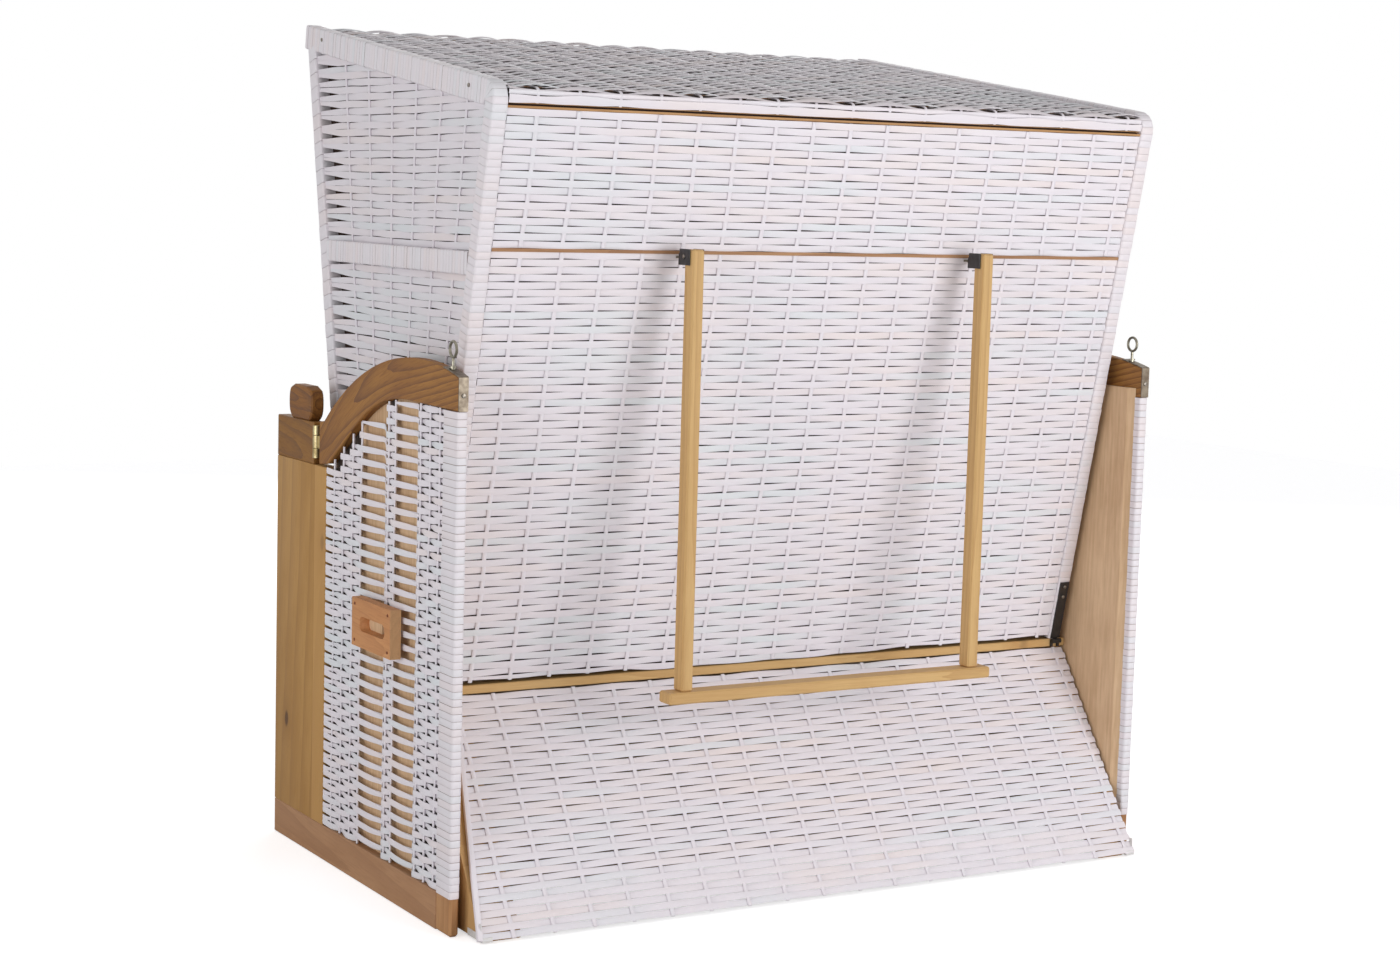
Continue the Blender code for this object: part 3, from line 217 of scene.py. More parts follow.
def make_sawn_grain():
    """Growth rings cut by a saw, with fine fibres, slow patches and a few knots, as a colour and
    a relief. The grain runs along the place's Z."""
    group, given, result = new_group(
        "sawn_grain", Vector=["Place"], Float=["Ring Scale", "Wander", "Contrast", "Fibre", "Knots"],
        Color=["Early", "Late", "Patch"],
    )
    flat = remap(group, given["Place"], (0.0, 4.6, 2.6), (0, math.pi / 2, 0))
    spots = add_node(group, "TexVoronoi", {"voronoi_dimensions": "2D"}, Vector=flat, Scale=1.0).outputs
    chance = add_node(group, "SeparateColor", Color=spots["Color"]).outputs["Red"]
    kept = maths(group, "MULTIPLY", maths(group, "GREATER_THAN", chance, 0.58), given["Knots"])
    near = ramp(group, spots["Distance"], 0.0, 0.30, 1.0, 0.0, "SMOOTHSTEP")
    swirl = maths(group, "MULTIPLY", maths(group, "POWER", near, 2.0), kept)
    core = maths(group, "MULTIPLY", ramp(group, spots["Distance"], 0.028, 0.050, 1.0, 0.0), kept)
    push = add_node(group, "VectorMath", {"operation": "SCALE"}, Vector=(0.035, 0.012, 0.0), Scale=swirl)
    pushed = remap(group, given["Place"], shift=push.outputs[0])
    rings = add_node(
        group, "TexWave", {"wave_type": "RINGS", "rings_direction": "Z", "wave_profile": "SAW"},
        Vector=remap(group, pushed, (1.0, 1.0, 0.10)), Scale=given["Ring Scale"], Distortion=given["Wander"],
        Detail=3.0, Detail_Scale=1.2, Detail_Roughness=0.5,
    ).outputs["Fac"]
    ring = maths(group, "MULTIPLY", maths(group, "POWER", rings, 2.2), given["Contrast"])
    fibres = noise(group, remap(group, pushed, (1.0, 1.0, 0.035)), 330.0, 4.0, 0.65)
    slow = noise(group, remap(group, given["Place"], (1.0, 1.0, 0.4)), 11.0, 3.0, 0.5)
    dark_fibre = maths(group, "MULTIPLY", ramp(group, fibres, 0.46, 0.74), given["Fibre"])
    body = mix_colour(group, ring, given["Early"], given["Late"])
    body = mix_colour(group, ramp(group, slow, 0.42, 0.72, 0.0, 0.75), body, given["Patch"])
    body = mix_colour(group, dark_fibre, body, given["Late"])
    body = mix_colour(group, maths(group, "MULTIPLY", swirl, 0.55), body, given["Late"])
    body = mix_colour(group, maths(group, "MULTIPLY", core, 0.8), body, colour(70, 44, 24))
    give(result, Colour=body, Relief=maths(group, "MULTIPLY_ADD", fibres, 0.7, ring))
    return group


sawn_grain = make_sawn_grain()


def wood(name, along, early, late, patch, ring_size, wander, contrast, fibre, knots, pith, lean, edge=None,
         bend=None):
    """Wood whose grain runs along X, Y or Z, cut from a log whose heart lies off by the pith and
    leans. Left and right pieces mirror each other. An edge is a paler band from a place along Y on,
    given as that place and its colour: on the front boards a paler board joined on, on the handles
    the end face, paler as end grain and as painted light. A bend lets the grain dip in front of a place along
    Y."""
    material, tree, shader = new_material(name)
    place = object_place(tree)
    spot = add_node(tree, "SeparateXYZ", Vector=place).outputs
    if along != "X":
        height = spot["Z"]
        if bend:
            ahead = maths(tree, "MAXIMUM", maths(tree, "SUBTRACT", bend[0], spot["Y"]), 0.0)
            height = maths(tree, "MULTIPLY_ADD", maths(tree, "POWER", ahead, 2.0), bend[1], height)
        folded = maths(tree, "ABSOLUTE", spot["X"])
        place = add_node(tree, "CombineXYZ", X=folded, Y=spot["Y"], Z=height).outputs[0]
    turn = {"X": (0, math.pi / 2, 0), "Y": (math.pi / 2, 0, 0), "Z": (0, 0, 0)}[along]
    turned = remap(tree, place, turn=turn, shift=(*pith, 0.0))
    grain = add_node(
        tree, "Group", {"node_tree": sawn_grain}, Place=remap(tree, turned, turn=(*lean, 0.0)),
        Ring_Scale=0.314 / ring_size, Wander=wander, Contrast=contrast, Fibre=fibre, Knots=knots,
        Early=colour(*early), Late=colour(*late), Patch=colour(*patch),
    ).outputs
    shown = grain["Colour"]
    if edge:
        joint, paler = edge
        share = ramp(tree, spot["Y"], joint - 0.002, joint + 0.002, 0.0, 0.55)
        shown = mix_colour(tree, share, shown, colour(*paler))
        apart = maths(tree, "ABSOLUTE", maths(tree, "SUBTRACT", spot["Y"], joint))
        seam = maths(tree, "MULTIPLY", maths(tree, "LESS_THAN", apart, 0.0009), 0.5)
        shown = mix_colour(tree, seam, shown, colour(*late))
    give(
        shader, Base_Color=shown, Roughness=ramp(tree, grain["Relief"], 0.0, 1.6, 0.65, 0.47),
        Specular_IOR_Level=0.3, Normal=dented(tree, grain["Relief"], 0.25, 0.0005),
    )
    return material


def on_side(name, side):
    """A name that ends in an underscore stands for one on the left and one on the right."""
    return name + side if name.endswith("_") else name


def dress(material, *names):
    """Gives a material to nodes of the frame that keep their shape."""
    for name in names:
        for side in ("left", "right"):
            for held in nodes[on_side(name, side)].material_slots:
                held.material = material


def settle(piece, name):
    """Puts a piece's place into its mesh and names it."""
    choose(piece)
    bpy.ops.object.transform_apply(location=True, rotation=True, scale=True)
    piece.name = piece.data.name = name
    return piece


def make_box(low, high, name):
    """A box between two corners."""
    choose()
    bpy.ops.mesh.primitive_cube_add(size=1, location=[(a + b) / 2 for a, b in zip(low, high)])
    box = bpy.context.object
    box.scale = [b - a for a, b in zip(low, high)]
    return settle(box, name)


def work(piece, kind, **settings):
    """Adds a modifier and applies it."""
    bpy.context.view_layer.objects.active = piece
    change = piece.modifiers.new("work", kind)
    for key, value in settings.items():
        setattr(change, key, value)
    bpy.ops.object.modifier_apply(modifier=change.name)
    return piece


def smooth(piece, angle):
    choose(piece)
    bpy.ops.object.shade_smooth_by_angle(angle=math.radians(angle))
    return piece


def soften(piece, width):
    """Rounds the sharp edges of a piece a little."""
    work(piece, "BEVEL", width=width, segments=2, limit_method="ANGLE", angle_limit=math.radians(35))
    return smooth(piece, 35)


def points_of(piece):
    flat = np.empty(len(piece.data.vertices) * 3)
    piece.data.vertices.foreach_get("co", flat)
    return flat.reshape(-1, 3)


def put_points(piece, points):
    piece.data.vertices.foreach_set("co", points.ravel())
    piece.data.update()


def finish_as(piece, material):
    piece.data.materials.clear()
    piece.data.materials.append(material)
    return piece


def fit(piece, body, material=None, replaced=None):
    """Says what a finished piece rides on, which finish it has and which node it stands for."""
    if material:
        finish_as(piece, material)
    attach(piece, body)
    if replaced:
        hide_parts(replaced)


def fit_both(left, body, material=None, replaced=""):
    """Fits a left piece and its mirror image, which has a mesh of its own."""
    right = left.copy()
    right.data = left.data.copy()
    bpy.context.scene.collection.objects.link(right)
    right.name = right.data.name = left.name.replace("left", "right")
    points = points_of(right)
    points[:, 0] *= -1
    put_points(right, points)
    right.data.flip_normals()
    for piece, side in ((left, "left"), (right, "right")):
        fit(piece, on_side(body, side), material, on_side(replaced, side))
    return right


front_wood = wood(
    "front_board_wood", "Z", (184, 141, 82), (142, 98, 46), (164, 120, 62), ring_size=0.046, wander=5.0,
    contrast=0.50, fibre=0.34, knots=1.0, pith=(-0.735, 0.20), lean=(0.05, 0.05),
    edge=(-0.2150, (196, 152, 94)),
)
board_low, board_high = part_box("front_board_left")
board_rear_y = -0.1590
front_board = make_box(board_low, (board_high.x, board_rear_y, board_high.z), "wall_front_board_left")
fit_both(soften(front_board, 0.0012), "base", front_wood, "front_board_")
cheek_wood = wood(
    "cheek_wood", "Z", (204, 164, 112), (176, 132, 82), (190, 148, 94), ring_size=0.028, wander=5.0,
    contrast=0.5, fibre=0.4, knots=0.6, pith=(-0.69, -0.20), lean=(0.05, 0.06),
)
dress(cheek_wood, "flap_cheek_")
dress(wood(
    "post_foot_wood", "Z", (184, 138, 94), (148, 102, 62), (166, 118, 76), ring_size=0.014, wander=3.0,
    contrast=0.6, fibre=0.5, knots=0.0, pith=(-0.70, -0.35), lean=(0.03, 0.02),
), "rear_post_")
dress(wood(
    "plinth_wood", "Y", (178, 136, 100), (148, 105, 72), (162, 119, 84), ring_size=0.028, wander=5.0,
    contrast=0.5, fibre=0.45, knots=0.8, pith=(-0.72, 0.02), lean=(0.04, 0.05),
), "plinth_")
dress(wood(
    "block_wood", "Y", (144, 100, 46), (88, 52, 18), (120, 78, 32), ring_size=0.022, wander=5.0,
    contrast=0.6, fibre=0.5, knots=0.0, pith=(-0.70, 0.74), lean=(0.10, 0.12),
), "end_block_")
dress(wood(
    "knob_wood", "Y", (142, 94, 42), (80, 42, 14), (118, 74, 30), ring_size=0.012, wander=3.4,
    contrast=0.8, fibre=0.6, knots=0.0, pith=(-0.71, 0.85), lean=(0.08, 0.10),
), "knob_")


# Inner boards, seat deck, floor board and the divider between the footrests
# Sanded sheet wood, dull and tan, with hardly any grain. The inner boards back the woven
# walls, so they show through the open columns of the weave and on the far wall's inner face.
# Behind the dense weave their outer faces are painted dark brown as painted shade, left off at the handles.
def sheet_wood(name, along, light, dark, painted_shade=None, painted_shade_strips=(), bare=None):
    material, tree, shader = new_material(name)
    place = object_place(tree)
    stretch = {"X": (0.08, 1, 1), "Z": (1, 1, 0.08)}[along]
    streaks = noise(tree, remap(tree, place, stretch), 140.0, 5.0, 0.6)
    clouds = maths(tree, "MULTIPLY", noise(tree, place, 5.0, 4.0, 0.55), 0.5)
    share = ramp(tree, maths(tree, "MULTIPLY_ADD", streaks, 0.5, clouds), 0.36, 0.64)
    shown = mix_colour(tree, share, colour(*dark), colour(*light))
    # Painted shade: the outer faces turn dark brown in strips along Y, except at the bare spot by the handle.
    if painted_shade:
        spot = add_node(tree, "SeparateXYZ", Vector=place).outputs
        outside = maths(tree, "GREATER_THAN", maths(tree, "ABSOLUTE", spot["X"]), painted_shade_x)
        in_y, in_z = (maths(tree, "COMPARE", spot[way], *bare[way]) for way in "YZ")
        outside = maths(tree, "SUBTRACT", outside, maths(tree, "MULTIPLY", in_y, in_z))
        for start, end in painted_shade_strips:
            after = maths(tree, "GREATER_THAN", spot["Y"], start)
            before = maths(tree, "LESS_THAN", spot["Y"], end)
            painted_dark = maths(tree, "MULTIPLY", outside, maths(tree, "MULTIPLY", after, before))
            shown = mix_colour(tree, painted_dark, shown, colour(*painted_shade))
    give(shader, Base_Color=shown, Roughness=0.72, Normal=dented(tree, streaks, 0.2, 0.0004))
    return material


# Beyond this X the inner boards' outer faces carry the painted shade.
painted_shade_x = 0.7342
wall_panel = sheet_wood(
    "plain_panel_upright", "Z", (226, 194, 156), (196, 160, 122), painted_shade=(58, 44, 36),
    painted_shade_strips=((-0.40, -0.0240), (0.0850, 0.1290), (0.2230, 0.40)),
    bare={"Y": (0.110, 0.085), "Z": (0.495, 0.034)},
)
deck_panel = sheet_wood("plain_panel_level", "X", (205, 178, 140), (176, 146, 106))
dress(deck_panel, "center_divider", "seat_deck", "floor_board")
dress(wall_panel, "inner_board_")
inner_rear_y, inner_face_x, inner_slant = 0.3920, 0.7250, 1.464
for side in ("_left", "_right"):
    board = nodes["inner_board" + side].copy()
    board.data = board.data.copy()
    bpy.context.scene.collection.objects.link(board)
    board.name = board.data.name = "wall_inner_board" + side
    work(board, "WELD", merge_threshold=0.00001)
    points = points_of(board)
    slanted = inner_rear_y + (np.abs(points[:, 0]) - inner_face_x) * inner_slant
    points[:, 1] = np.minimum(points[:, 1], slanted)
    put_points(board, points)
    fit(board, "base", wall_panel, "inner_board" + side)


# Carved arms, carry handles, rails and the prop frame
# The arms are sawn from wide dark boards, so their grain makes long arches. The rails and the
# prop frame are pale yellow softwood.
dress(wood(
    "carved_arm_wood", "Y", (162, 113, 56), (82, 40, 12), (130, 84, 40), ring_size=0.0115, wander=2.6,
    contrast=0.75, fibre=0.5, knots=0.0, pith=(-0.710, 0.942), lean=(-0.22, -0.07), bend=(0.20, 0.75),
), "arm_")
pine_colours = (207, 170, 115), (178, 134, 80), (194, 154, 98)
dress(wood(
    "pine_upright", "Z", *pine_colours, ring_size=0.010, wander=2.4, contrast=0.6, fibre=0.4, knots=0.0,
    pith=(-0.30, -0.40), lean=(0.03, 0.02),
), "prop_leg_")
pine_level = wood(
    "pine_level", "X", *pine_colours, ring_size=0.011, wander=3.0, contrast=0.5, fibre=0.4, knots=0.5,
    pith=(-0.40, 0.03), lean=(0.02, 0.03),
)
dress(pine_level, "footrest_box_", "prop_crossbar", "rear_rail", "seat_apron")
# The back's middle rail and the roof's rear rail take a darker copy of the pine: painted shade for rails that
# sit back in shadow.
dress(wood(
    "shaded_pine", "X", (178, 136, 98), (132, 92, 62), (154, 112, 80), ring_size=0.009, wander=2.4,
    contrast=0.6, fibre=0.5, knots=0.0, pith=(-1.20, 0.35), lean=(0.02, 0.03),
), "back_mid_rail", "roof_rear_rail")


# Metal fittings
# Bright brass hinges at the front of the arms, dull steel straps over their tails, zinc
# plated eye bolts, and black strap hinges and forked brackets on the hood.
def metal(name, bright, dull, rough, metallic=1.0, spots=60.0):
    """Metal or paint with worn spots, so many to the metre, and fine scratches."""
    material, tree, shader = new_material(name)
    place = object_place(tree)
    wear = noise(tree, place, spots, 5.0, 0.7)
    shown = mix_colour(tree, ramp(tree, wear, 0.38, 0.66), colour(*bright), colour(*dull))
    scratches = noise(tree, place, spots * 12, 3.0, 0.6)
    give(
        shader, Base_Color=shown, Metallic=metallic, Normal=dented(tree, scratches, 0.15, 0.0002),
        Roughness=ramp(tree, wear, 0.3, 0.7, rough - 0.07, rough + 0.12),
    )
    return material


brass = metal("satin_brass", (204, 190, 148), (160, 142, 100), 0.36, spots=30.0)
dress(brass, "arm_hinge_", "arm_hinge_leaf_")
dress(metal("dull_steel", (132, 122, 108), (104, 92, 80), 0.46), "arm_strap_")
zinc = metal("zinc_plate", (156, 152, 138), (104, 98, 84), 0.30, spots=90.0)
dress(zinc, "eye_bolt_")
black_iron = metal("black_paint", (44, 42, 42), (28, 27, 28), 0.38, metallic=0.0, spots=40.0)
dress(black_iron, "hood_strap_", "pivot_bracket_")


# Woven field of the hood's back
# Flat white plastic strips, half an inch wide, run over and under flat upright stakes. The
# back is woven in two fields, above and below the rail that carries the prop frame.
def make_strip_finish():
    """The plastic strip's colour: each length a little warmer or cooler, with faint dust, and a darker
    colour where the mesh says so: dirt in the windings' seams, painted shade on the roof and hood sides."""
    group, given, result = new_group("strip_finish", Color=["Plain", "Warm", "Cool", "Dirt"])
    place = object_place(group)
    tone, dirt = (
        add_node(group, "Attribute", {"attribute_name": key}).outputs["Fac"] for key in ("tone", "dirt")
    )
    clouds = maths(group, "MULTIPLY", noise(group, place, 3.2, 3.0, 0.55), 0.6)
    lean = maths(group, "MULTIPLY_ADD", tone, 0.6, clouds)
    body = mix_colour(group, ramp(group, lean, 0.62, 0.92), given["Plain"], given["Warm"])
    body = mix_colour(group, ramp(group, lean, 0.56, 0.30), body, given["Cool"])
    dust = noise(group, place, 420.0, 3.0, 0.6)
    faint = ramp(group, dust, 0.35, 0.7, 0.985, 1.0)
    grey = add_node(group, "CombineColor", Red=faint, Green=faint, Blue=faint).outputs[0]
    body = mix_colour(group, 1.0, body, grey, "MULTIPLY")
    give(result, Colour=mix_colour(group, dirt, body, given["Dirt"]), Relief=dust)
    return group


strip_finish = make_strip_finish()


def strip_material(name, plain, warm, cool, dirt):
    material, tree, shader = new_material(name)
    finish = add_node(
        tree, "Group", {"node_tree": strip_finish}, Plain=colour(*plain), Warm=colour(*warm),
        Cool=colour(*cool), Dirt=colour(*dirt),
    ).outputs
    dent = dented(tree, finish["Relief"], 0.08, 0.0002)
    give(shader, Base_Color=finish["Colour"], Roughness=0.48, Normal=dent)
    return material


# The white strip's darker colour is painted shade, laid on where the mesh asks for it.
white_strip = strip_material("white_strip", (230, 224, 230), (233, 222, 222), (222, 225, 229), (120, 100, 92))


def make_grid(name, middle, size, columns, rows):
    """A flat grid of faces that lies in X and Y."""
    choose()
    bpy.ops.mesh.primitive_grid_add(x_subdivisions=columns, y_subdivisions=rows, size=1, location=(*middle, 0))
    bpy.context.object.scale = (*size, 1)
    return settle(bpy.context.object, name)


def stack(piece, count, step):
    """Repeats a piece in a row, each copy a step on from the last."""
    return work(
        piece, "ARRAY", count=count, use_relative_offset=False, use_constant_offset=True,
        constant_offset_displace=step, use_merge_vertices=False,
    )


def trim(piece, cuts):
    """Cuts a piece along planes, each a point and the way outwards, and drops what lies outside."""
    choose(piece)
    bpy.ops.object.mode_set(mode="EDIT")
    for place, outward in cuts:
        bpy.ops.mesh.select_all(action="SELECT")
        bpy.ops.mesh.bisect(plane_co=place, plane_no=outward, clear_outer=True, threshold=0.00001)
    bpy.ops.object.mode_set(mode="OBJECT")


def pick(piece, kind, test):
    """Goes into edit mode and selects the edges or faces that pass a test."""
    choose(piece)
    bpy.ops.object.mode_set(mode="EDIT")
    bpy.ops.mesh.select_mode(type=kind)
    body = bmesh.from_edit_mesh(piece.data)
    parts = body.edges if kind == "EDGE" else body.faces
    parts.ensure_lookup_table()
    for part in parts:
        part.select_set(bool(test(part)))
    bmesh.update_edit_mesh(piece.data)


def take_out(piece, test):
    """Deletes the faces that pass a test."""
    pick(piece, "FACE", test)
    bpy.ops.mesh.delete(type="FACE")
    bpy.ops.object.mode_set(mode="OBJECT")


def join_all(name, pieces):
    choose(*pieces)
    if len(pieces) > 1:
        bpy.ops.object.join()
    pieces[0].name = pieces[0].data.name = name
    return pieces[0]


def soft_noise(across, up, seed):
    """Smooth noise from -1 to 1 over two places counted in cells."""
    table = np.random.RandomState(seed).uniform(-1, 1, (97, 89))
    left, low = np.floor(across).astype(int), np.floor(up).astype(int)
    a, b = across - left, up - low
    a, b = a * a * (3 - 2 * a), b * b * (3 - 2 * b)

    def at(i, j):
        return table[i % 97, j % 89]

    below = at(left, low) * (1 - a) + at(left + 1, low) * a
    above = at(left, low + 1) * (1 - a) + at(left + 1, low + 1) * a
    return below * (1 - b) + above * b


def ease(share):
    share = np.clip(share, 0, 1)
    return share * share * (3 - 2 * share)


def paint_points(piece, **shades):
    """Writes a value for each point of a piece, such as its tone, and its dirt and painted shade."""
    for key, values in shades.items():
        layer = piece.data.attributes.get(key) or piece.data.attributes.new(key, "FLOAT", "POINT")
        layer.data.foreach_set("value", np.asarray(values, dtype=np.float32))


strip_thickness = 0.0012
strip_crown = 0.0007
stake_wander = 0.0028


def wander(u, v, seed):
    """How far a stake leans aside at a place of the field."""
    return stake_wander * soft_noise(u / 0.31 + 7, v / 0.09 + 3, seed + 50)


def woven_strips(name, reach, rise, stakes, rows, strip_width, wave, seed, shape=None, step=0.0115,
                 sag=0.0022, slack=0.00045, pinch=0.13, joints=(), turning=None):
    """Rows of flat strip, lying in X and Y and facing Z. One strip is gridded and stacked, then
    each row takes its swing over one stake and under the next, and is pinched where it goes
    under. A line of points moves to each joint, so that a strip can turn sharply there."""
    pitch, length = (rise[1] - rise[0]) / rows, reach[1] - reach[0]
    middle = (reach[0] + reach[1]) / 2, rise[0] + pitch / 2
    strips = make_grid(name, middle, (length, strip_width), max(2, round(length / step)), 2)
    stack(strips, rows, (0, pitch, 0))
    points = points_of(strips)
    places = np.unique(np.round(points[:, 0], 6))
    moved = places.copy()
    for joint in joints:
        moved[np.argmin(np.abs(places - joint))] = joint
    points[:, 0] = moved[np.searchsorted(places, np.round(points[:, 0], 6))]
    u, v = points[:, 0].copy(), points[:, 1].copy()
    row = np.clip(np.floor((v - rise[0]) / pitch).astype(int), 0, rows - 1)
    middle = rise[0] + (row + 0.5) * pitch
    side = (v - middle) / (strip_width / 2)
    turn = turning(u, v) if turning else np.interp(u - wander(u, v, seed), stakes, range(len(stakes)))
    swing = np.cos(np.pi * (turn + row))
    narrow = 1 - pinch * ((1 - swing) / 2) ** 3
    ends = np.clip(np.minimum(middle - rise[0], rise[1] - middle) / 0.09, 0, 1)
    drift = sag * soft_noise(u / 0.34, v / 0.26, seed + 1) * ends
    loose = slack * (soft_noise(u / 0.055, row, seed + 2) + soft_noise(u / 0.4, row, seed + 3))
    points[:, 1] = middle + drift + loose + side * strip_width / 2 * narrow
    points[:, 2] = wave * swing + strip_crown * (1 - side ** 2)
    points[:, 2] += 0.00035 * soft_noise(u / 0.03, row, seed + 4)
    if shape:
        shape(points, u, row, side)
    put_points(strips, points)
    whole = np.random.RandomState(seed + 5).uniform(0, 1, rows)[row]
    paint_points(strips, tone=0.5 * whole + 0.25 * (1 + soft_noise(u / 0.16, row, seed + 6)))
    return strips


def woven_stakes(name, stakes, rise, seed, width=0.0080, thickness=0.0031, crown=0.0011, step=0.020,
                 lean=None):
    """Flat upright stakes, each from its own foot to its own head."""
    made = []
    for number, (place, (low, high)) in enumerate(zip(stakes, rise)):
        stake = make_grid(
            "%s_%d" % (name, number), (place, (low + high) / 2), (width, high - low), 4,
            max(2, round((high - low) / step)),
        )
        points = points_of(stake)
        side = (points[:, 0] - place) / (width / 2)
        points[:, 2] = thickness / 2 - crown * side ** 2
        if lean:
            points[:, 0] += lean(number, points[:, 1]) - place
        else:
            points[:, 0] += wander(points[:, 0], points[:, 1], seed)
        put_points(stake, points)
        paint_points(stake, tone=np.full(len(points), 0.45))
        made.append(work(stake, "SOLIDIFY", thickness=thickness, offset=-1))
    return join_all(name, made)


def within(places, half_width):
    """The places that lie well inside a field's edges."""
    return [place for place in places if abs(place) < half_width - 0.006]


def finish_field(name, strips, stakes, cuts=()):
    """Gives the strips their thickness, sets the stakes between them and trims both."""
    if cuts:
        trim(strips, cuts)
        trim(stakes, cuts)
    work(strips, "SOLIDIFY", thickness=strip_thickness, offset=-1)
    return smooth(finish_as(join_all(name, [strips, stakes]), white_strip), 50)


def lay(piece, origin, along, up):
    """Puts a flat piece in its plane: its X goes along, its Y goes up, and it faces their cross."""
    along, up = Vector(along).normalized(), Vector(up).normalized()
    turn = Matrix((along, up, along.cross(up))).transposed().to_4x4()
    piece.data.transform(Matrix.Translation(Vector(origin)) @ turn)
    return piece


rear_lean = math.radians(12.05)
front_lean = math.radians(13.5)
roof_slope = math.radians(8.0)
hood_foot = Vector((0, 0.22805, 0.400))
hood_front_top = Vector((0, -0.48625, 1.600))
side_outer_x = 0.712
toe_rate = 0.042 / (hood_foot.y + 1.2 * math.tan(rear_lean) - hood_front_top.y)
hood_frame_thickness = 0.028


def rear_y(z):
    return hood_foot.y + (z - hood_foot.z) * math.tan(rear_lean)


def front_y(z):
    return hood_front_top.y + (hood_front_top.z - z) * math.tan(front_lean)


def roof_z(y):
    return hood_front_top.z - (y - hood_front_top.y) * math.tan(roof_slope)


def toe_in(piece, share_of_width=False):
    """Narrows a piece of the hood towards its front, as the hood's sides are."""
    points = points_of(piece)
    shift = toe_rate * (rear_y(points[:, 2]) - points[:, 1])
    if share_of_width:
        points[:, 0] *= 1 - shift / side_outer_x
    else:
        points[:, 0] -= np.sign(points[:, 0]) * shift
    put_points(piece, points)


stake_pitch, row_pitch = 0.080, 0.0133
back_wave = 0.0019
back_half_width = 0.6825
back_set_in = back_wave + strip_crown + 0.0003
back_up = Vector((0, math.sin(rear_lean), math.cos(rear_lean)))
back_out = Vector((0, math.cos(rear_lean), -math.sin(rear_lean)))
back_stakes = [stake_pitch * (number - 9) + 0.012 for number in range(19)]


def wavy_hem(points, u, row, side):
    """The lowest strip rises and falls a little along its lower edge."""
    lift = 0.0062 * ease(soft_noise(u / 0.17, 0.0, 907) + 0.30)
    points[:, 1] += np.where((row == 0) & (side < -0.5), lift, 0)


def back_field(name, low_z, high_z, seed, replaced, shape=None):
    rise = (high_z - low_z) / math.cos(rear_lean)
    strips = woven_strips(
        name, (-back_half_width, back_half_width), (0, rise), back_stakes, round(rise / row_pitch),
        row_pitch - 0.0009, back_wave, seed, shape, slack=0.0003, pinch=0.03,
    )
    inside = within(back_stakes, back_half_width)
    stakes = woven_stakes(name + "_stakes", inside, [(0.003, rise - 0.001)] * len(inside), seed)
    field = finish_field(name, strips, stakes)
    lay(field, Vector((0, rear_y(low_z), low_z)) - back_out * back_set_in, (-1, 0, 0), back_up)
    fit(field, "hood", None, replaced)


back_field("back_field_lower", 0.401, 1.1838, 11, "back_weave_lower", wavy_hem)
back_field("back_field_upper", 1.1882, 1.4240, 12, "back_weave_upper")


# Flap behind the seat
# The same weave on a slanted frame that leans from the seat's rear rail to the ground, so the
# hood can lie back over it. On the left a bound border runs askew over the tan side board.
flap_top = Vector((0, 0.22805, 0.3830))
flap_foot = Vector((0, 0.48625, 0.0085))
flap_half_width = 0.7200
flap_up = (flap_top - flap_foot).normalized()
flap_out = Vector((-1, 0, 0)).cross(flap_up)
flap_rise = (flap_top - flap_foot).length
flap_stakes = [stake_pitch * (number - 9.5) + 0.020 for number in range(20)]
border_foot = Vector((-0.7205, 0, 0))
border_way = (Vector((-0.6540, flap_rise, 0)) - border_foot).normalized()
border_side = border_way.cross(Vector((0, 0, 1)))
strips = woven_strips(
    "rear_flap_field", (-flap_half_width, flap_half_width), (0, flap_rise), flap_stakes,
    round(flap_rise / row_pitch), row_pitch - 0.0010, back_wave, 21, slack=0.0003, pinch=0.02,
)
inside = within(flap_stakes, flap_half_width)
stakes = woven_stakes("flap_stakes", inside, [(-0.001, flap_rise)] * len(inside), 21)
flap_field = finish_field("rear_flap_field", strips, stakes, [(border_foot, -border_side)])
lay(flap_field, flap_foot - flap_out * back_set_in, (-1, 0, 0), flap_up)
fit(flap_field, "base", None, "rear_flap")
border = make_box((-0.0085, 0.0, -0.0080), (0.0015, flap_rise / border_way.y, 0.0004), "flap_border_left")
soften(border, 0.0016)
lay(lay(border, border_foot, border_side, border_way), flap_foot, (-1, 0, 0), flap_up)
paint_points(border, tone=np.full(len(border.data.vertices), 0.5))
fit(border, "base", white_strip)
side_board = make_box((-0.6998, 0.003, -0.0203), (-0.6400, flap_rise - 0.004, -0.0103), "flap_side_board_left")
lay(soften(side_board, 0.0010), flap_foot, (-1, 0, 0), flap_up)
fit_both(side_board, "base", cheek_wood)


# Roof
# The roof's stakes rise from the top of the back, bend over its rear edge and run forward to
# the front rail, so the first rows of the roof hang down behind as a short woven valance.
def planes_meet(back_inset, roof_inset):
    """Where the hood's back meets its roof, as (y, z), each moved inwards."""
    z = 1.5
    for _ in range(40):
        y = rear_y(z) - back_inset / math.cos(rear_lean)
        z = roof_z(y) - roof_inset / math.cos(roof_slope)
    return y, z


def arc(middle, radius, angles):
    """Points round a middle in the plane of Y and Z."""
    return [(middle[0] + radius * math.cos(angle), middle[1] + radius * math.sin(angle)) for angle in angles]


def rear_corner(radius, drop=0.0):
    """The bend of the roof over the back, as (y, z) points, from the back to the roof."""
    y, z = planes_meet(radius, radius)
    low, high = -rear_lean, math.pi / 2 - roof_slope
    return arc((y, z - drop), radius, [low + (high - low) * step / 12 for step in range(13)])


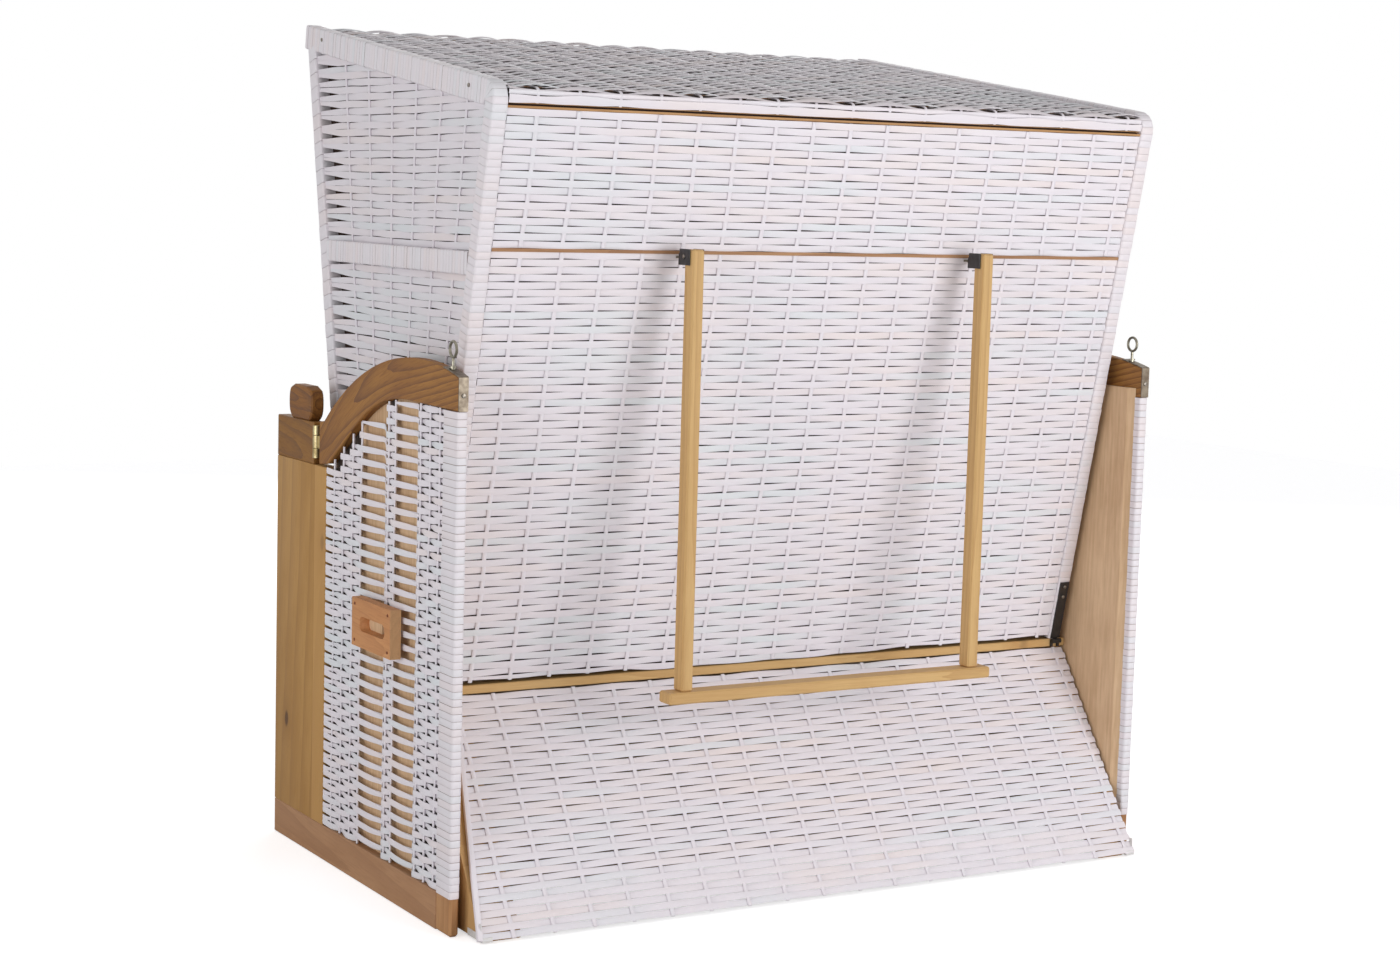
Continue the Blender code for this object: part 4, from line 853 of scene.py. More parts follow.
def bend_over(piece, path):
    """Lays a flat piece along a line in the plane of Y and Z: its Y follows the line, and its Z
    stands off it."""
    path = np.array(path)
    steps = np.diff(path, axis=0)
    lengths = np.hypot(steps[:, 0], steps[:, 1])
    along = np.concatenate([[0], np.cumsum(lengths)])
    ways = steps / lengths[:, None]
    knots, turns = [0.0], [ways[0]]
    for number in range(1, len(ways)):
        half = min(lengths[number - 1], lengths[number]) / 2
        knots += [along[number] - half, along[number] + half]
        turns += [ways[number - 1], ways[number]]
    knots.append(along[-1])
    turns = np.array(turns + [ways[-1]])
    points = points_of(piece)
    u, v, w = points.T.copy()
    way_y, way_z = np.interp(v, knots, turns[:, 0]), np.interp(v, knots, turns[:, 1])
    size = np.hypot(way_y, way_z)
    extra = np.clip(v - along[-1], 0, None) + np.clip(v, None, 0)
    points[:, 0] = -u
    points[:, 1] = np.interp(v, along, path[:, 0]) + way_z / size * w + way_y / size * extra
    points[:, 2] = np.interp(v, along, path[:, 1]) - way_y / size * w + way_z / size * extra
    put_points(piece, points)


def path_length(path):
    return sum(math.dist(a, b) for a, b in zip(path, path[1:]))


roof_low_z = 1.4328
roof_bend_radius = 0.013
roof_drop = 0.0030
lip_bottom_z = 1.5560
lip_round = 0.009
lip_middle = (hood_front_top.y + lip_round, roof_z(hood_front_top.y + lip_round) - lip_round)
lip_angles = [82] + [98 + 82 * step / 6 for step in range(7)]
roof_path = [(rear_y(roof_low_z), roof_low_z)] + rear_corner(roof_bend_radius, roof_drop)
roof_path += arc(lip_middle, lip_round, [math.radians(angle) for angle in lip_angles])
roof_path += [(hood_front_top.y, lip_bottom_z)]
roof_run = path_length(roof_path)
roof_half_width = 0.6820
roof_wave = 0.0046


def plain_edge(points, u, row, side):
    """The lowest row lies flat before all the stakes and the next one behind them all."""
    points[:, 2] += np.where(row > 1, 0.0011 * soft_noise(u / 0.045, row, 909), 0)
    for number, height in ((0, 0.0038), (1, 0.0002)):
        points[:, 2] = np.where(row == number, height + strip_crown * (1 - side ** 2), points[:, 2])
    points[:, 1] += np.where((row == 1) & (side > 0.5), -0.0010, 0)
    points[:, 1] += np.where((row == 0) & (side > 0.5), 0.0024 + 0.0016 * soft_noise(u / 0.06, 0.0, 908), 0)


strips = woven_strips(
    "roof_field", (-roof_half_width, roof_half_width), (0, roof_run), back_stakes, round(roof_run / row_pitch),
    row_pitch - 0.0003, roof_wave, 31, plain_edge, pinch=0.22,
)
inside = within(back_stakes, roof_half_width)
stakes = woven_stakes("roof_stakes", inside, [(0.0, roof_run)] * len(inside), 31, 0.0058, 0.0026, step=0.010)
roof_field = finish_field("roof_field", strips, stakes)
roof_field.data.transform(Matrix.Translation((0, 0, -(roof_wave + strip_crown + 0.0003))))
bend_over(roof_field, roof_path)
# Painted shade: the roof's top, above its valance and lip, is painted a little darker, as a face the light only
# grazes.
points = points_of(roof_field)
paint_points(roof_field, dirt=np.where(points[:, 2] > roof_z(points[:, 1]) - 0.014, 0.13, 0.0))
toe_in(roof_field, share_of_width=True)
fit(roof_field, "hood", None, "roof_weave")


# Woven sides of the hood
# Each side is one woven field set back between its wound posts and bands. At the front post
# the strips come in pairs out of the winding, which leaves small dark wedges between them.
side_plane_x = side_outer_x - 0.0143 - back_set_in
side_low_z, side_top_z = 0.4455, 1.556
side_gaps = 7


def side_place(share, v):
    """The place along Y at a share of the side's width and at a height."""
    front_edge, rear_edge = front_y(v) + 0.036, rear_y(v) - 0.034
    return front_edge + share * (rear_edge - front_edge)


def side_turn(u, v):
    """The stakes fan out upwards, and share the side's width evenly at every height."""
    return side_gaps * (u - side_place(0, v)) / (side_place(1, v) - side_place(0, v)) + 1


def side_stake(number, v):
    return side_place((number + 1) / side_gaps, v)


def pair_up(points, u, row, side):
    """Draws each pair of strips together and outwards where it leaves the front post."""
    beside = np.clip(1 - (u - side_place(0, points[:, 1])) / 0.085, 0, 1)
    high = 0.70 + 0.30 * soft_noise(row / 3.0, 0.0, 17) + 0.30 * ease((points[:, 1] - 0.95) / 0.5)
    points[:, 1] += (np.where(row % 2 == 0, 0.0034, -0.0034) - side * 0.0030) * beside * high
    points[:, 2] = points[:, 2] * (1 - beside) + 0.0130 * beside ** 1.5


strips = woven_strips(
    "hood_side_field_left", (-0.462, 0.402), (side_low_z, side_top_z), (),
    round((side_top_z - side_low_z) / row_pitch), row_pitch - 0.0001, 0.0019, 41, pair_up, slack=0.0007,
    pinch=0.12, turning=side_turn,
)
# Painted shade: the side's strips are painted a little darker than their stakes, so the stakes read as the lit
# ones.
paint_points(strips, dirt=np.full(len(strips.data.vertices), 0.05))
stakes = woven_stakes(
    "side_stakes", [0.0] * (side_gaps - 1), [(side_low_z, side_top_z)] * (side_gaps - 1), 41, 0.0090, 0.0032,
    crown=0.0014, lean=side_stake,
)
side_cuts = [
    ((front_y(1.0) + 0.0364, 1.0, 0), (-math.cos(front_lean), -math.sin(front_lean), 0)),
    ((rear_y(1.0) - 0.0344, 1.0, 0), (math.cos(rear_lean), -math.sin(rear_lean), 0)),
    ((0, roof_z(0) - 0.0455, 0), (math.sin(roof_slope), math.cos(roof_slope), 0)),
]
hood_side = finish_field("hood_side_field_left", strips, stakes, side_cuts)
lay(hood_side, (side_plane_x, 0, 0), (0, 1, 0), (0, 0, 1))
toe_in(hood_side)
fit_both(hood_side, "hood", None, "hood_side_weave_")


# Woven fields of the side walls
# Strips in pairs round uneven stakes. Where two stakes stand far apart the lower strip of each
# pair slips behind the upper one, so the field opens and the tan board shows between the pairs.
wall_plane_x = 0.7468
wall_field_front, wall_field_rear = board_rear_y + 0.0004, 0.3619
wall_low_z, wall_high_z = 0.0675, 0.9125
wall_rows = 70
wall_wave = 0.0030
wall_pitch = (wall_high_z - wall_low_z) / wall_rows
wall_stakes = [
    -0.230, -0.190, -0.1310, -0.0880, -0.0440, -0.0035, 0.1185, 0.1485, 0.2565, 0.2965, 0.3365, 0.376,
]
stake_half = 0.0037
open_columns = ((-0.0035, 0.1185, 0.014, 0.008), (0.1485, 0.2565, 0.012, 0.002))
arm_toe, arm_hollow = (-0.1487, 0.765), (-0.0137, 0.853)
arm_flat, arm_tail = (0.2063, 0.9155), (0.42025, 0.913)


def under_arm():
    """The carved underside of the arm, as (y, z) points."""
    slope = (arm_hollow[1] - arm_toe[1]) / (arm_hollow[0] - arm_toe[0])
    bend = (arm_hollow[0] + (arm_flat[1] - arm_hollow[1]) / slope, arm_flat[1])
    curve = []
    for t in (step / 12 for step in range(13)):
        a, b, c = (1 - t) ** 2, 2 * t * (1 - t), t ** 2
        curve.append(tuple(a * arm_hollow[way] + b * bend[way] + c * arm_flat[way] for way in (0, 1)))
    return [(-0.30, arm_toe[1]), arm_toe, *curve, arm_tail]


underside = under_arm()


def between(places, pairs):
    """The values at places of a line that is given as pairs of a place and its value."""
    return np.interp(places, *zip(*pairs))


def open_pairs(points, u, row, side):
    """Slips the lower strip of each pair up behind the upper one, behind the stake that stands
    before an open column, and lets it slant back to its place before the next stake."""
    lower = row % 2 == 0
    for start, end, slant, more_slant in open_columns:
        slant = slant + more_slant * ease((points[:, 1] - 0.62) / 0.2)
        behind = np.clip((u - start + stake_half) / (2 * stake_half), 0, 1)
        share = behind * np.clip((end - stake_half - u) / slant, 0, 1) * lower
        above = 2 * strip_crown * (1 - side ** 2) - points[:, 2]
        points[:, 2] = points[:, 2] * (1 - share) + (above - 0.0017) * share
        points[:, 1] += wall_pitch * share - side * 0.0009 * share
        span = np.clip((u - start) / (end - start), 0, 1)
        loose = 0.0030 * ease(1 - points[:, 1] / 0.62) + 0.004 * np.clip(1 - row / 2, 0, 1)
        points[:, 1] -= loose * np.sin(np.pi * span)
    near = ease(1 - (u - wall_field_front) / 0.048)
    points[:, 1] += np.where(lower, 0.0019, -0.0019) * near
    points[:, 2] = points[:, 2] * (1 - near) + (0.0047 + strip_crown * (1 - side ** 2)) * near


def row_start(row):
    """Where a row begins: at the front strip, or at the first stake that stands clear of the arm."""
    top = wall_low_z + (row + 1) * wall_pitch
    if top < arm_toe[1] - 0.002:
        return -1.0
    for place in wall_stakes[2:]:
        clear = 0.010 if place < -0.01 else 0.001
        if between(place - 0.004, underside) > top + clear and between(place + 0.040, underside) > top + 0.001:
            return place - 0.0070
    return 1.0


strips = woven_strips(
    "side_wall_field_left", (wall_field_front, wall_field_rear), (wall_low_z, wall_high_z), wall_stakes,
    wall_rows, wall_pitch - 0.0004, wall_wave, 61, open_pairs, step=0.0062, sag=0.0010, slack=0.00035,
    pinch=0.46, joints=[
        place for start, end, slant, _ in open_columns
        for place in (start - stake_half, start + stake_half, end - stake_half, end - stake_half - slant)
    ],
)
faces_in_row = len(strips.data.polygons) // wall_rows
row_starts = [row_start(row) for row in range(wall_rows)]
slot_y, slot_z = (0.0600, 0.1710), (0.4760, 0.5150)


def in_slot(face):
    """Whether a face of the flat weave lies in the slot of the carry handle."""
    y, z, _ = face.calc_center_median()
    return slot_y[0] < y < slot_y[1] and slot_z[0] < z < slot_z[1]


take_out(strips, lambda face: (
    face.calc_center_median()[0] < row_starts[face.index // faces_in_row] or in_slot(face)
))
standing = wall_stakes[2:-1]
stake_rise = [(wall_low_z, between(place, underside) - 0.001) for place in standing]
stakes = woven_stakes("wall_stakes", standing, stake_rise, 61, 0.0070, step=0.012)
take_out(stakes, in_slot)
wall_field = finish_field("side_wall_field_left", strips, stakes)
lay(wall_field, (wall_plane_x, 0, 0), (0, 1, 0), (0, 0, 1))
fit_both(wall_field, "base", None, "side_weave_")


# Windings of the posts and bands
# The posts of the walls and the whole frame of the hood are wooden bars wound edge to edge
# with the same white strip. The bare wood of the walls' rear posts shows below the winding.
winding_skin = 0.0008
frame_middle_x = side_outer_x - hood_frame_thickness / 2
wound_strip = strip_material("wound_strip", (229, 223, 228), (231, 219, 219), (222, 224, 228), (128, 108, 102))


def winding(name, path, width, seed, thickness=hood_frame_thickness, middle_x=frame_middle_x, pitch=row_pitch,
            seam=0.00045, widths=None, soft=0.0040, bulge=0.0, grime=((0, 1.0),)):
    """One turn of the strip round the bar is modelled, stacked, and laid along the bar. The
    widths and the grime are pairs of a place along the bar and the value there."""
    length = path_length(path)
    turns = max(2, round(length / pitch))
    pitch = length / turns
    middle = -width / 2
    choose()
    bpy.ops.mesh.primitive_cube_add(size=1, location=(0, pitch / 2, middle))
    wound = bpy.context.object
    wound.scale = (thickness + 2 * winding_skin, pitch - seam * 0.4, width + 2 * winding_skin)
    settle(wound, name)
    pick(wound, "EDGE", lambda edge: abs((edge.verts[0].co - edge.verts[1].co).normalized().y) > 0.9)
    bpy.ops.mesh.bevel(offset=soft, segments=3, affect="EDGES")
    bpy.ops.object.mode_set(mode="OBJECT")
    ends = points_of(wound)[:, 1].min(), points_of(wound)[:, 1].max()
    pick(wound, "EDGE", lambda edge: any(all(abs(v.co.y - end) < 1e-6 for v in edge.verts) for end in ends))
    bpy.ops.mesh.bevel(offset=seam, segments=2, affect="EDGES")
    bpy.ops.object.mode_set(mode="OBJECT")
    stack(wound, turns, (0, pitch, 0))
    points = points_of(wound)
    number = np.clip(np.floor(points[:, 1] / pitch).astype(int), 0, turns - 1)
    rng = np.random.RandomState(seed)
    swell = rng.uniform(-0.00025, 0.00030, turns)[number]
    slip = rng.uniform(-0.05, 0.05, turns)[number] * pitch
    across = points[:, 1] / pitch - number - 0.5
    depth = rng.choice([0.25, 0.45, 0.65, 1.0], turns, p=[0.4, 0.3, 0.2, 0.1])[number]
    dirty = depth * between(points[:, 1], grime)
    dirt = np.where(np.abs(across) > 0.5 - seam * 0.75 / pitch, dirty, 0.0)
    swell = swell + bulge * (1 - (2 * across) ** 2)
    points[:, 0] += np.sign(points[:, 0]) * swell
    points[:, 1] += slip * (0.5 - np.abs(across)) * 2
    if widths:
        points[:, 2] -= np.where(points[:, 2] < middle, between(points[:, 1], widths) - width, 0)
    points[:, 2] += np.sign(points[:, 2] - middle) * swell
    put_points(wound, points)
    paint_points(wound, tone=rng.uniform(0.25, 0.8, turns)[number], dirt=dirt)
    bend_over(wound, path)
    wound.data.transform(Matrix.Translation((middle_x, 0, 0)))
    return smooth(finish_as(wound, wound_strip), 35)


fit_both(winding(
    "wall_post_winding_left", [(0.42025, 0.0672), (0.42025, 0.9124)], 0.058, 71, thickness=0.0184,
    middle_x=0.7440, pitch=0.0130, seam=0.00050, soft=0.0050, grime=[(0, 1.5)],
), "base")
corner_radius = 0.0345
corner_points = rear_corner(corner_radius)
rear_foot = (rear_y(0.4003), 0.4003)
rear_run = path_length([rear_foot, corner_points[0]])
corner_run = rear_run + path_length(corner_points)
band_front_y = hood_front_top.y + 0.0006
rear_and_top = winding(
    "rear_and_top_winding", [rear_foot] + corner_points + [(band_front_y, roof_z(band_front_y))], 0.034, 72,
    widths=[(corner_run - 0.001, 0.034), (corner_run, 0.045)], grime=[(rear_run, 0.35), (corner_run, 1.0)],
)
front_post = winding(
    "front_post_winding", [(front_y(1.552), 1.552), (front_y(0.4003), 0.4003)], 0.036, 73,
    pitch=2 * row_pitch / math.cos(front_lean), seam=0.0010, bulge=0.0004, grime=[(0, 0.3)],
)
mid_band = winding(
    "mid_band_winding", [(rear_y(1.16) - 0.034, 1.181), (front_y(1.16) + 0.036, 1.181)], 0.039, 74,
    thickness=0.014, middle_x=side_outer_x - 0.007, soft=0.003,
)
low_band = winding(
    "low_band_winding", [(rear_y(0.42) - 0.034, 0.445), (front_y(0.42) + 0.036, 0.445)], 0.0445, 75,
)
hood_winding = join_all("hood_frame_winding_left", [rear_and_top, front_post, mid_band, low_band])
toe_in(hood_winding)
fit_both(hood_winding, "hood", None, "hood_side_frame_")


# Dark cloth of painted shade behind the weave, and the hood's lining
# A dark cloth, painted shade for the shadowed gaps, is stretched behind the strips. Inside it
# hangs the lining, a sand coloured cloth stretched over the hood's sides, back and ceiling.
def woven_cloth(name, thread, between_threads, pitch, rough=0.9, slub=0.5):
    """A plain weave of threads over and under, worn a little lighter where it stands proud."""
    material, tree, shader = new_material(name)
    place = object_place(tree)
    cross = 1.0
    for way in "XYZ":
        cross = maths(tree, "MULTIPLY", cross, add_node(
            tree, "TexWave", {"wave_type": "BANDS", "bands_direction": way}, Vector=place, Scale=0.314 / pitch,
            Distortion=slub, Detail=2.0, Detail_Scale=1.5,
        ).outputs["Fac"])
    cross = maths(tree, "POWER", cross, 0.35)
    clouds = noise(tree, place, 9.0, 4.0, 0.6)
    share = maths(tree, "MULTIPLY_ADD", clouds, 0.5, maths(tree, "MULTIPLY", cross, 0.7))
    give(
        shader, Base_Color=mix_colour(tree, share, colour(*between_threads), colour(*thread)), Roughness=rough,
        Specular_IOR_Level=0.2, Normal=dented(tree, cross, 0.5, 0.0003),
    )
    return material


def bevel_all(piece, width, segments):
    """Goes into edit mode and rounds every edge of a piece."""
    choose(piece)
    bpy.ops.object.mode_set(mode="EDIT")
    bpy.ops.mesh.select_all(action="SELECT")
    bpy.ops.mesh.bevel(offset=width, segments=segments, affect="EDGES")


def hood_cloth(name, back_inset, side_x, roof_inset, front_inset, low_z, thickness, sag, material):
    """A cloth box open at its front and bottom, with its corners on the hood's own planes."""
    front_top_z = roof_z(front_y(1.55) + front_inset) - roof_inset / math.cos(roof_slope)
    corners = {
        (1, -1): (rear_y(low_z) - back_inset / math.cos(rear_lean), low_z),
        (1, 1): planes_meet(back_inset, roof_inset),
        (-1, -1): (front_y(low_z) + front_inset, low_z),
        (-1, 1): (front_y(front_top_z) + front_inset, front_top_z),
    }
    cloth = make_box((-1, -1, -1), (1, 1, 1), name)
    take_out(cloth, lambda face: face.normal.y < -0.9 or face.normal.z < -0.9)
    for corner in cloth.data.vertices:
        y, z = corners[round(corner.co.y), round(corner.co.z)]
        corner.co = (round(corner.co.x) * (side_x - toe_rate * (rear_y(z) - y)), y, z)
    bevel_all(cloth, 0.010, 3)
    bpy.ops.mesh.subdivide(number_cuts=15)
    bpy.ops.object.mode_set(mode="OBJECT")
    points = points_of(cloth)
    x, y, z = points.T
    slack = sag * soft_noise(x / 0.22 + y / 0.3 + 5, z / 0.24 + y / 0.19, 93)
    for number, corner in enumerate(cloth.data.vertices):
        points[number] += np.array(corner.normal) * (slack[number] - sag)
    put_points(cloth, points)
    work(cloth, "SOLIDIFY", thickness=thickness, offset=-1)
    fit(smooth(cloth, 50), "hood", material)
    return cloth


# Painted shade: this dark cloth behind the weave stands in for the shadow inside the gaps.
painted_shade_cloth = woven_cloth("painted_shade_webbing", (74, 56, 48), (44, 32, 28), 0.0022)
sand_cloth = woven_cloth("sand_cloth", (212, 197, 172), (176, 158, 132), 0.0016)
backing = hood_cloth("hood_painted_shade_backing", 0.0095, 0.6870, 0.0105, 0.030, 0.4050, 0.0008, 0.0002, painted_shade_cloth)
lining = hood_cloth("hood_lining_cloth", 0.0391, 0.6815, 0.0140, 0.036, 0.5060, 0.0012, 0.0022, sand_cloth)
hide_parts("hood_lining")


# Battens along the hood's rear edge and its front lip
# Thin tan battens nailed on. One closes the upper field of the back, one holds the end of the
# roof's strips, and one stiffens the lip of the roof from inside.
batten_wood = wood(
    "batten_wood", "X", (196, 152, 104), (150, 106, 66), (174, 130, 84), ring_size=0.009, wander=2.4,
    contrast=0.5, fibre=0.5, knots=0.0, pith=(-1.20, 0.35), lean=(0.02, 0.03),
)


def rear_batten(name, low_z, high_z, outer_inset):
    batten = make_box((-back_half_width, 0, low_z), (back_half_width, 1, high_z), name)
    points = points_of(batten)
    inset = np.where(points[:, 1] > 0.5, outer_inset, 0.0088)
    points[:, 1] = rear_y(points[:, 2]) - inset / math.cos(rear_lean)
    put_points(batten, points)
    fit(soften(batten, 0.0009), "hood", batten_wood)


rear_batten("rear_batten_low", 1.4248, 1.4290, 0.0014)
rear_batten("rear_batten_high", 1.4326, 1.4340, 0.0046)
lip_y = hood_front_top.y
lip_half = side_outer_x - hood_frame_thickness - toe_rate * (rear_y(1.57) - lip_y) - 0.002
lip_rail = make_box((-lip_half, lip_y + 0.0100, 1.5560), (lip_half, lip_y + 0.0290, 1.5870), "front_lip_rail")
fit(soften(lip_rail, 0.0015), "hood", batten_wood)


# Cushions on the seat, against the back and on the footrests
# Foam filled loose cushions with corded seams in a warm grey canvas. The two long ones are
# sewn in four channels. They lie and lean loose, held by their own weight.
canvas = woven_cloth("cushion_canvas", (216, 200, 178), (182, 164, 142), 0.0014, 0.92, 0.8)
piping_cloth = woven_cloth("piping_canvas", (150, 130, 110), (114, 98, 82), 0.0012)


def blow_up(cushion, most):
    """Lets the filling swell the canvas, which gives way no further than the most."""
    before = points_of(cushion)
    cloth = cushion.modifiers.new("work", "CLOTH")
    cloth.settings.use_pressure = True
    cloth.settings.uniform_pressure_force = 4.0
    cloth.settings.effector_weights.gravity = 0.0
    cloth.point_cache.frame_start, cloth.point_cache.frame_end = 1, 20
    for day in range(1, 21):
        bpy.context.scene.frame_set(day)
    bpy.context.view_layer.objects.active = cushion
    bpy.ops.object.modifier_apply(modifier=cloth.name)
    bpy.context.scene.frame_set(1)
    move = points_of(cushion) - before
    far = np.linalg.norm(move, axis=1)
    return before + move * (np.minimum(far, most) / np.maximum(far, 1e-9))[:, None]


def filled_cushion(name, width, length, height, channels, place, grain=0.008, growth=0.010, most=0.022):
    """A box of canvas blown up by its filling, drawn in at its seams, with a cord round its middle."""
    low = (-width / 2 + growth, -length / 2 + growth, growth * 0.4)
    cushion = make_box(low, (width / 2 - growth, length / 2 - growth, height * 0.80), name)
    bevel_all(cushion, 0.010, 2)
    bpy.ops.object.mode_set(mode="OBJECT")
    work(cushion, "REMESH", mode="VOXEL", voxel_size=grain)
    points = blow_up(cushion, most)
    u = np.clip(points[:, 0] / (width / 2), -1, 1)
    v = np.clip(points[:, 1] / (length / 2), -1, 1)
    swell = np.sqrt(np.clip((1 - u ** 4) * (1 - v ** 4), 0, 1))
    upper = ease((points[:, 2] / height - 0.35) / 0.4)
    points[:, 2] += 0.10 * height * swell * upper
    if channels > 1:
        seam = np.abs(np.cos(np.pi * channels * (u + 1) / 2)) ** 26
        inner = np.clip((1 - np.abs(u) ** 12) * 1.4, 0, 1) * (np.abs(u) < 0.9)
        points[:, 2] -= 0.16 * height * seam * upper * inner
    points[:, 0] -= np.sign(u) * 0.010 * (1 - v ** 2) * u ** 4
    points[:, 1] -= np.sign(v) * 0.010 * (1 - u ** 2) * v ** 4
    low, high = points.min(axis=0), points.max(axis=0)
    points[:, 0] *= width / (high[0] - low[0])
    points[:, 1] *= length / (high[1] - low[1])
    points[:, 2] = (points[:, 2] - low[2]) * height / (high[2] - low[2])
    points[:, 2] *= np.clip(points[:, 2] / (0.20 * height), 0, 1)
    put_points(cushion, points)
    work(cushion, "SUBSURF", levels=1, render_levels=1)
    smooth(finish_as(cushion, canvas), 80)
    whole = join_all(name, [cushion, piping_round(cushion, name + "_piping", height * 0.46)])
    whole.data.transform(place)
    return whole


def piping_round(cushion, name, level_z):
    """A cord sewn into the seam round the cushion's middle."""
    points = points_of(cushion)
    near = points[np.abs(points[:, 2] - level_z) < 0.006]
    half_x, half_y = np.abs(near[:, 0]).max(), np.abs(near[:, 1]).max()
    angles = np.arctan2(near[:, 1] / half_y, near[:, 0] / half_x)
    steps = 160
    line = bpy.data.curves.new(name, "CURVE")
    line.dimensions = "3D"
    spline = line.splines.new("POLY")
    spline.points.add(steps - 1)
    for step, point in enumerate(spline.points):
        angle = -math.pi + 2 * math.pi * (step + 0.5) / steps
        apart = np.abs((angles - angle + math.pi) % (2 * math.pi) - math.pi)
        chosen = near[apart < 1.4 * math.pi / steps]
        far = chosen[np.argmax(np.hypot(chosen[:, 0] / half_x, chosen[:, 1] / half_y))]
        point.co = (far[0], far[1], level_z, 1)
    spline.use_cyclic_u = True
    line.bevel_depth = 0.0030
    line.bevel_resolution = 2
    cord = bpy.data.objects.new(name, line)
    bpy.context.scene.collection.objects.link(cord)
    choose(cord)
    bpy.ops.object.convert(target="MESH")
    return smooth(finish_as(bpy.context.object, piping_cloth), 60)


low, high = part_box("seat_cushion")
seat_place = Matrix.Translation((0, (low.y + high.y) / 2, low.z + 0.0005))
seat_pad = filled_cushion("seat_cushion_dressed", *(high - low), 4, seat_place)
fit(seat_pad, "base", None, "seat_cushion")

back_cushion_length, back_cushion_thickness, back_cushion_low_z = 0.600, 0.085, 0.5120
low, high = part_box("back_cushion")
rise = back_cushion_length / 2 * math.cos(rear_lean) + back_cushion_thickness * math.sin(rear_lean)
middle_z = back_cushion_low_z + rise
back_middle = (0, rear_y(middle_z) - 0.0440 / math.cos(rear_lean), middle_z)
back_place = Matrix.Translation(back_middle) @ Matrix.Rotation(math.radians(90) - rear_lean, 4, "X")
back_pad = filled_cushion(
    "back_cushion_dressed", high.x - low.x, back_cushion_length, back_cushion_thickness, 4, back_place,
)
fit(back_pad, "hood", None, "back_cushion")

low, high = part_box("footrest_cushion_left")
foot_place = Matrix.Translation(((low.x + high.x) / 2, (low.y + high.y) / 2, low.z + 0.0005))
foot_pad = filled_cushion(
    "footrest_pad_left", *(high - low), 1, foot_place, grain=0.006, growth=0.008, most=0.012,
)
for piece in (foot_pad, fit_both(foot_pad, "footrest_body_", None, "footrest_cushion_")):
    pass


# Woven fronts of the footrests
# Each pull-out footrest has a small woven field in its front below the finger slot, held by
# thin pine battens nailed round it. A thin sheet of wood closes its box behind.
box_low, box_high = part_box("footrest_box_left")
front_x = (box_low.x + 0.010, box_high.x - 0.010)
front_z = (box_low.z + 0.010, box_low.z + 0.178)
batten_width, batten_depth = 0.012, 0.0075
field_x, field_z = (
    (ends[0] + batten_width - 0.002, ends[1] - batten_width + 0.002) for ends in (front_x, front_z)
)
front_stakes = [front_x[0] + 0.006 + stake_pitch * number for number in range(10)]
strips = woven_strips(
    "footrest_field_left", field_x, field_z, front_stakes, 11, 0.0132, 0.0019, 81, sag=0.0008,
)
stakes = woven_stakes("footrest_stakes", front_stakes[1:-1], [field_z] * 8, 81, 0.0060, 0.0024)
foot_field = finish_field("footrest_field_left", strips, stakes)
lay(foot_field, (0, box_low.y - 0.0036, 0), (1, 0, 0), (0, 0, 1))
bars, bar_y = [], box_low.y - batten_depth
for low in (front_z[0], front_z[1] - batten_width):
    bars.append(make_box((front_x[0], bar_y, low), (front_x[1], box_low.y, low + batten_width), "bar"))
for low in (front_x[0], front_x[1] - batten_width):
    high = low + batten_width
    bars.append(make_box((low, bar_y - 0.0004, front_z[0]), (high, box_low.y, front_z[1]), "bar"))
foot_battens = soften(join_all("footrest_battens_left", bars), 0.0012)
fit_both(foot_field, "footrest_body_")
fit_both(foot_battens, "footrest_body_", pine_level)
inner_gap = 0.0115
rear_sheet = make_box(
    (box_low.x + inner_gap, box_high.y - 0.0140, box_low.z + inner_gap),
    (box_high.x - inner_gap, box_high.y - 0.0080, box_high.z - inner_gap), "footrest_rear_sheet_left",
)
fit_both(soften(rear_sheet, 0.0008), "footrest_body_", deck_panel)


# Carry handles
# A thick plate of red-brown wood is screwed on each wall. A slot runs through it, with its rim
# scooped out for the fingers. A block of tan sheet wood fills the weave behind half of it.
handle_low, handle_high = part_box("carry_handle_left")
handle_y = (handle_low.y - 0.003, handle_high.y - 0.0025)
handle_z = (handle_low.z + 0.002, handle_high.z + 0.004)
handle_thickness = 0.0205
slot_middle = ((handle_y[0] + handle_y[1]) / 2 + 0.004, (handle_z[0] + handle_z[1]) / 2)
# The handle's edge pales its end face towards the back: partly as end grain, partly painted light for a face
# that gets little light.
handle_wood = wood(
    "handle_wood", "Y", (208, 152, 102), (164, 104, 60), (190, 130, 82), ring_size=0.014, wander=3.4,
    contrast=0.5, fibre=0.5, knots=0.0, pith=(-0.70, 0.46), lean=(0.03, 0.05),
    edge=(handle_y[1] - 0.0016, (222, 184, 138)),
)
handle_outer_x = handle_low.x + handle_thickness
handle = make_box(
    (handle_low.x, handle_y[0], handle_z[0]), (handle_outer_x, handle_y[1], handle_z[1]),
    "carry_handle_dressed_left",
)


def carve(piece, cutter):
    """Cuts a piece with another, which is used up."""
    work(piece, "BOOLEAN", operation="DIFFERENCE", solver="EXACT", object=cutter)
    bpy.data.objects.remove(cutter)


def slot_cutter(x_range, radii, shifts):
    """A long rounded slot, tapered inwards, that lies across the wall."""
    choose()
    bpy.ops.mesh.primitive_cone_add(
        vertices=32, radius1=radii[0], radius2=radii[1], depth=x_range[1] - x_range[0],
        location=((x_range[0] + x_range[1]) / 2, 0, 0), rotation=(0, math.pi / 2, 0),
    )
    cutter = settle(bpy.context.object, "slot_cutter")
    points = points_of(cutter)
    share = (points[:, 0] - x_range[0]) / (x_range[1] - x_range[0])
    points[:, 1] += np.where(points[:, 1] > 0, 1, -1) * (shifts[0] + (shifts[1] - shifts[0]) * share)
    points[:, 1:] += slot_middle
    put_points(cutter, points)
    return cutter


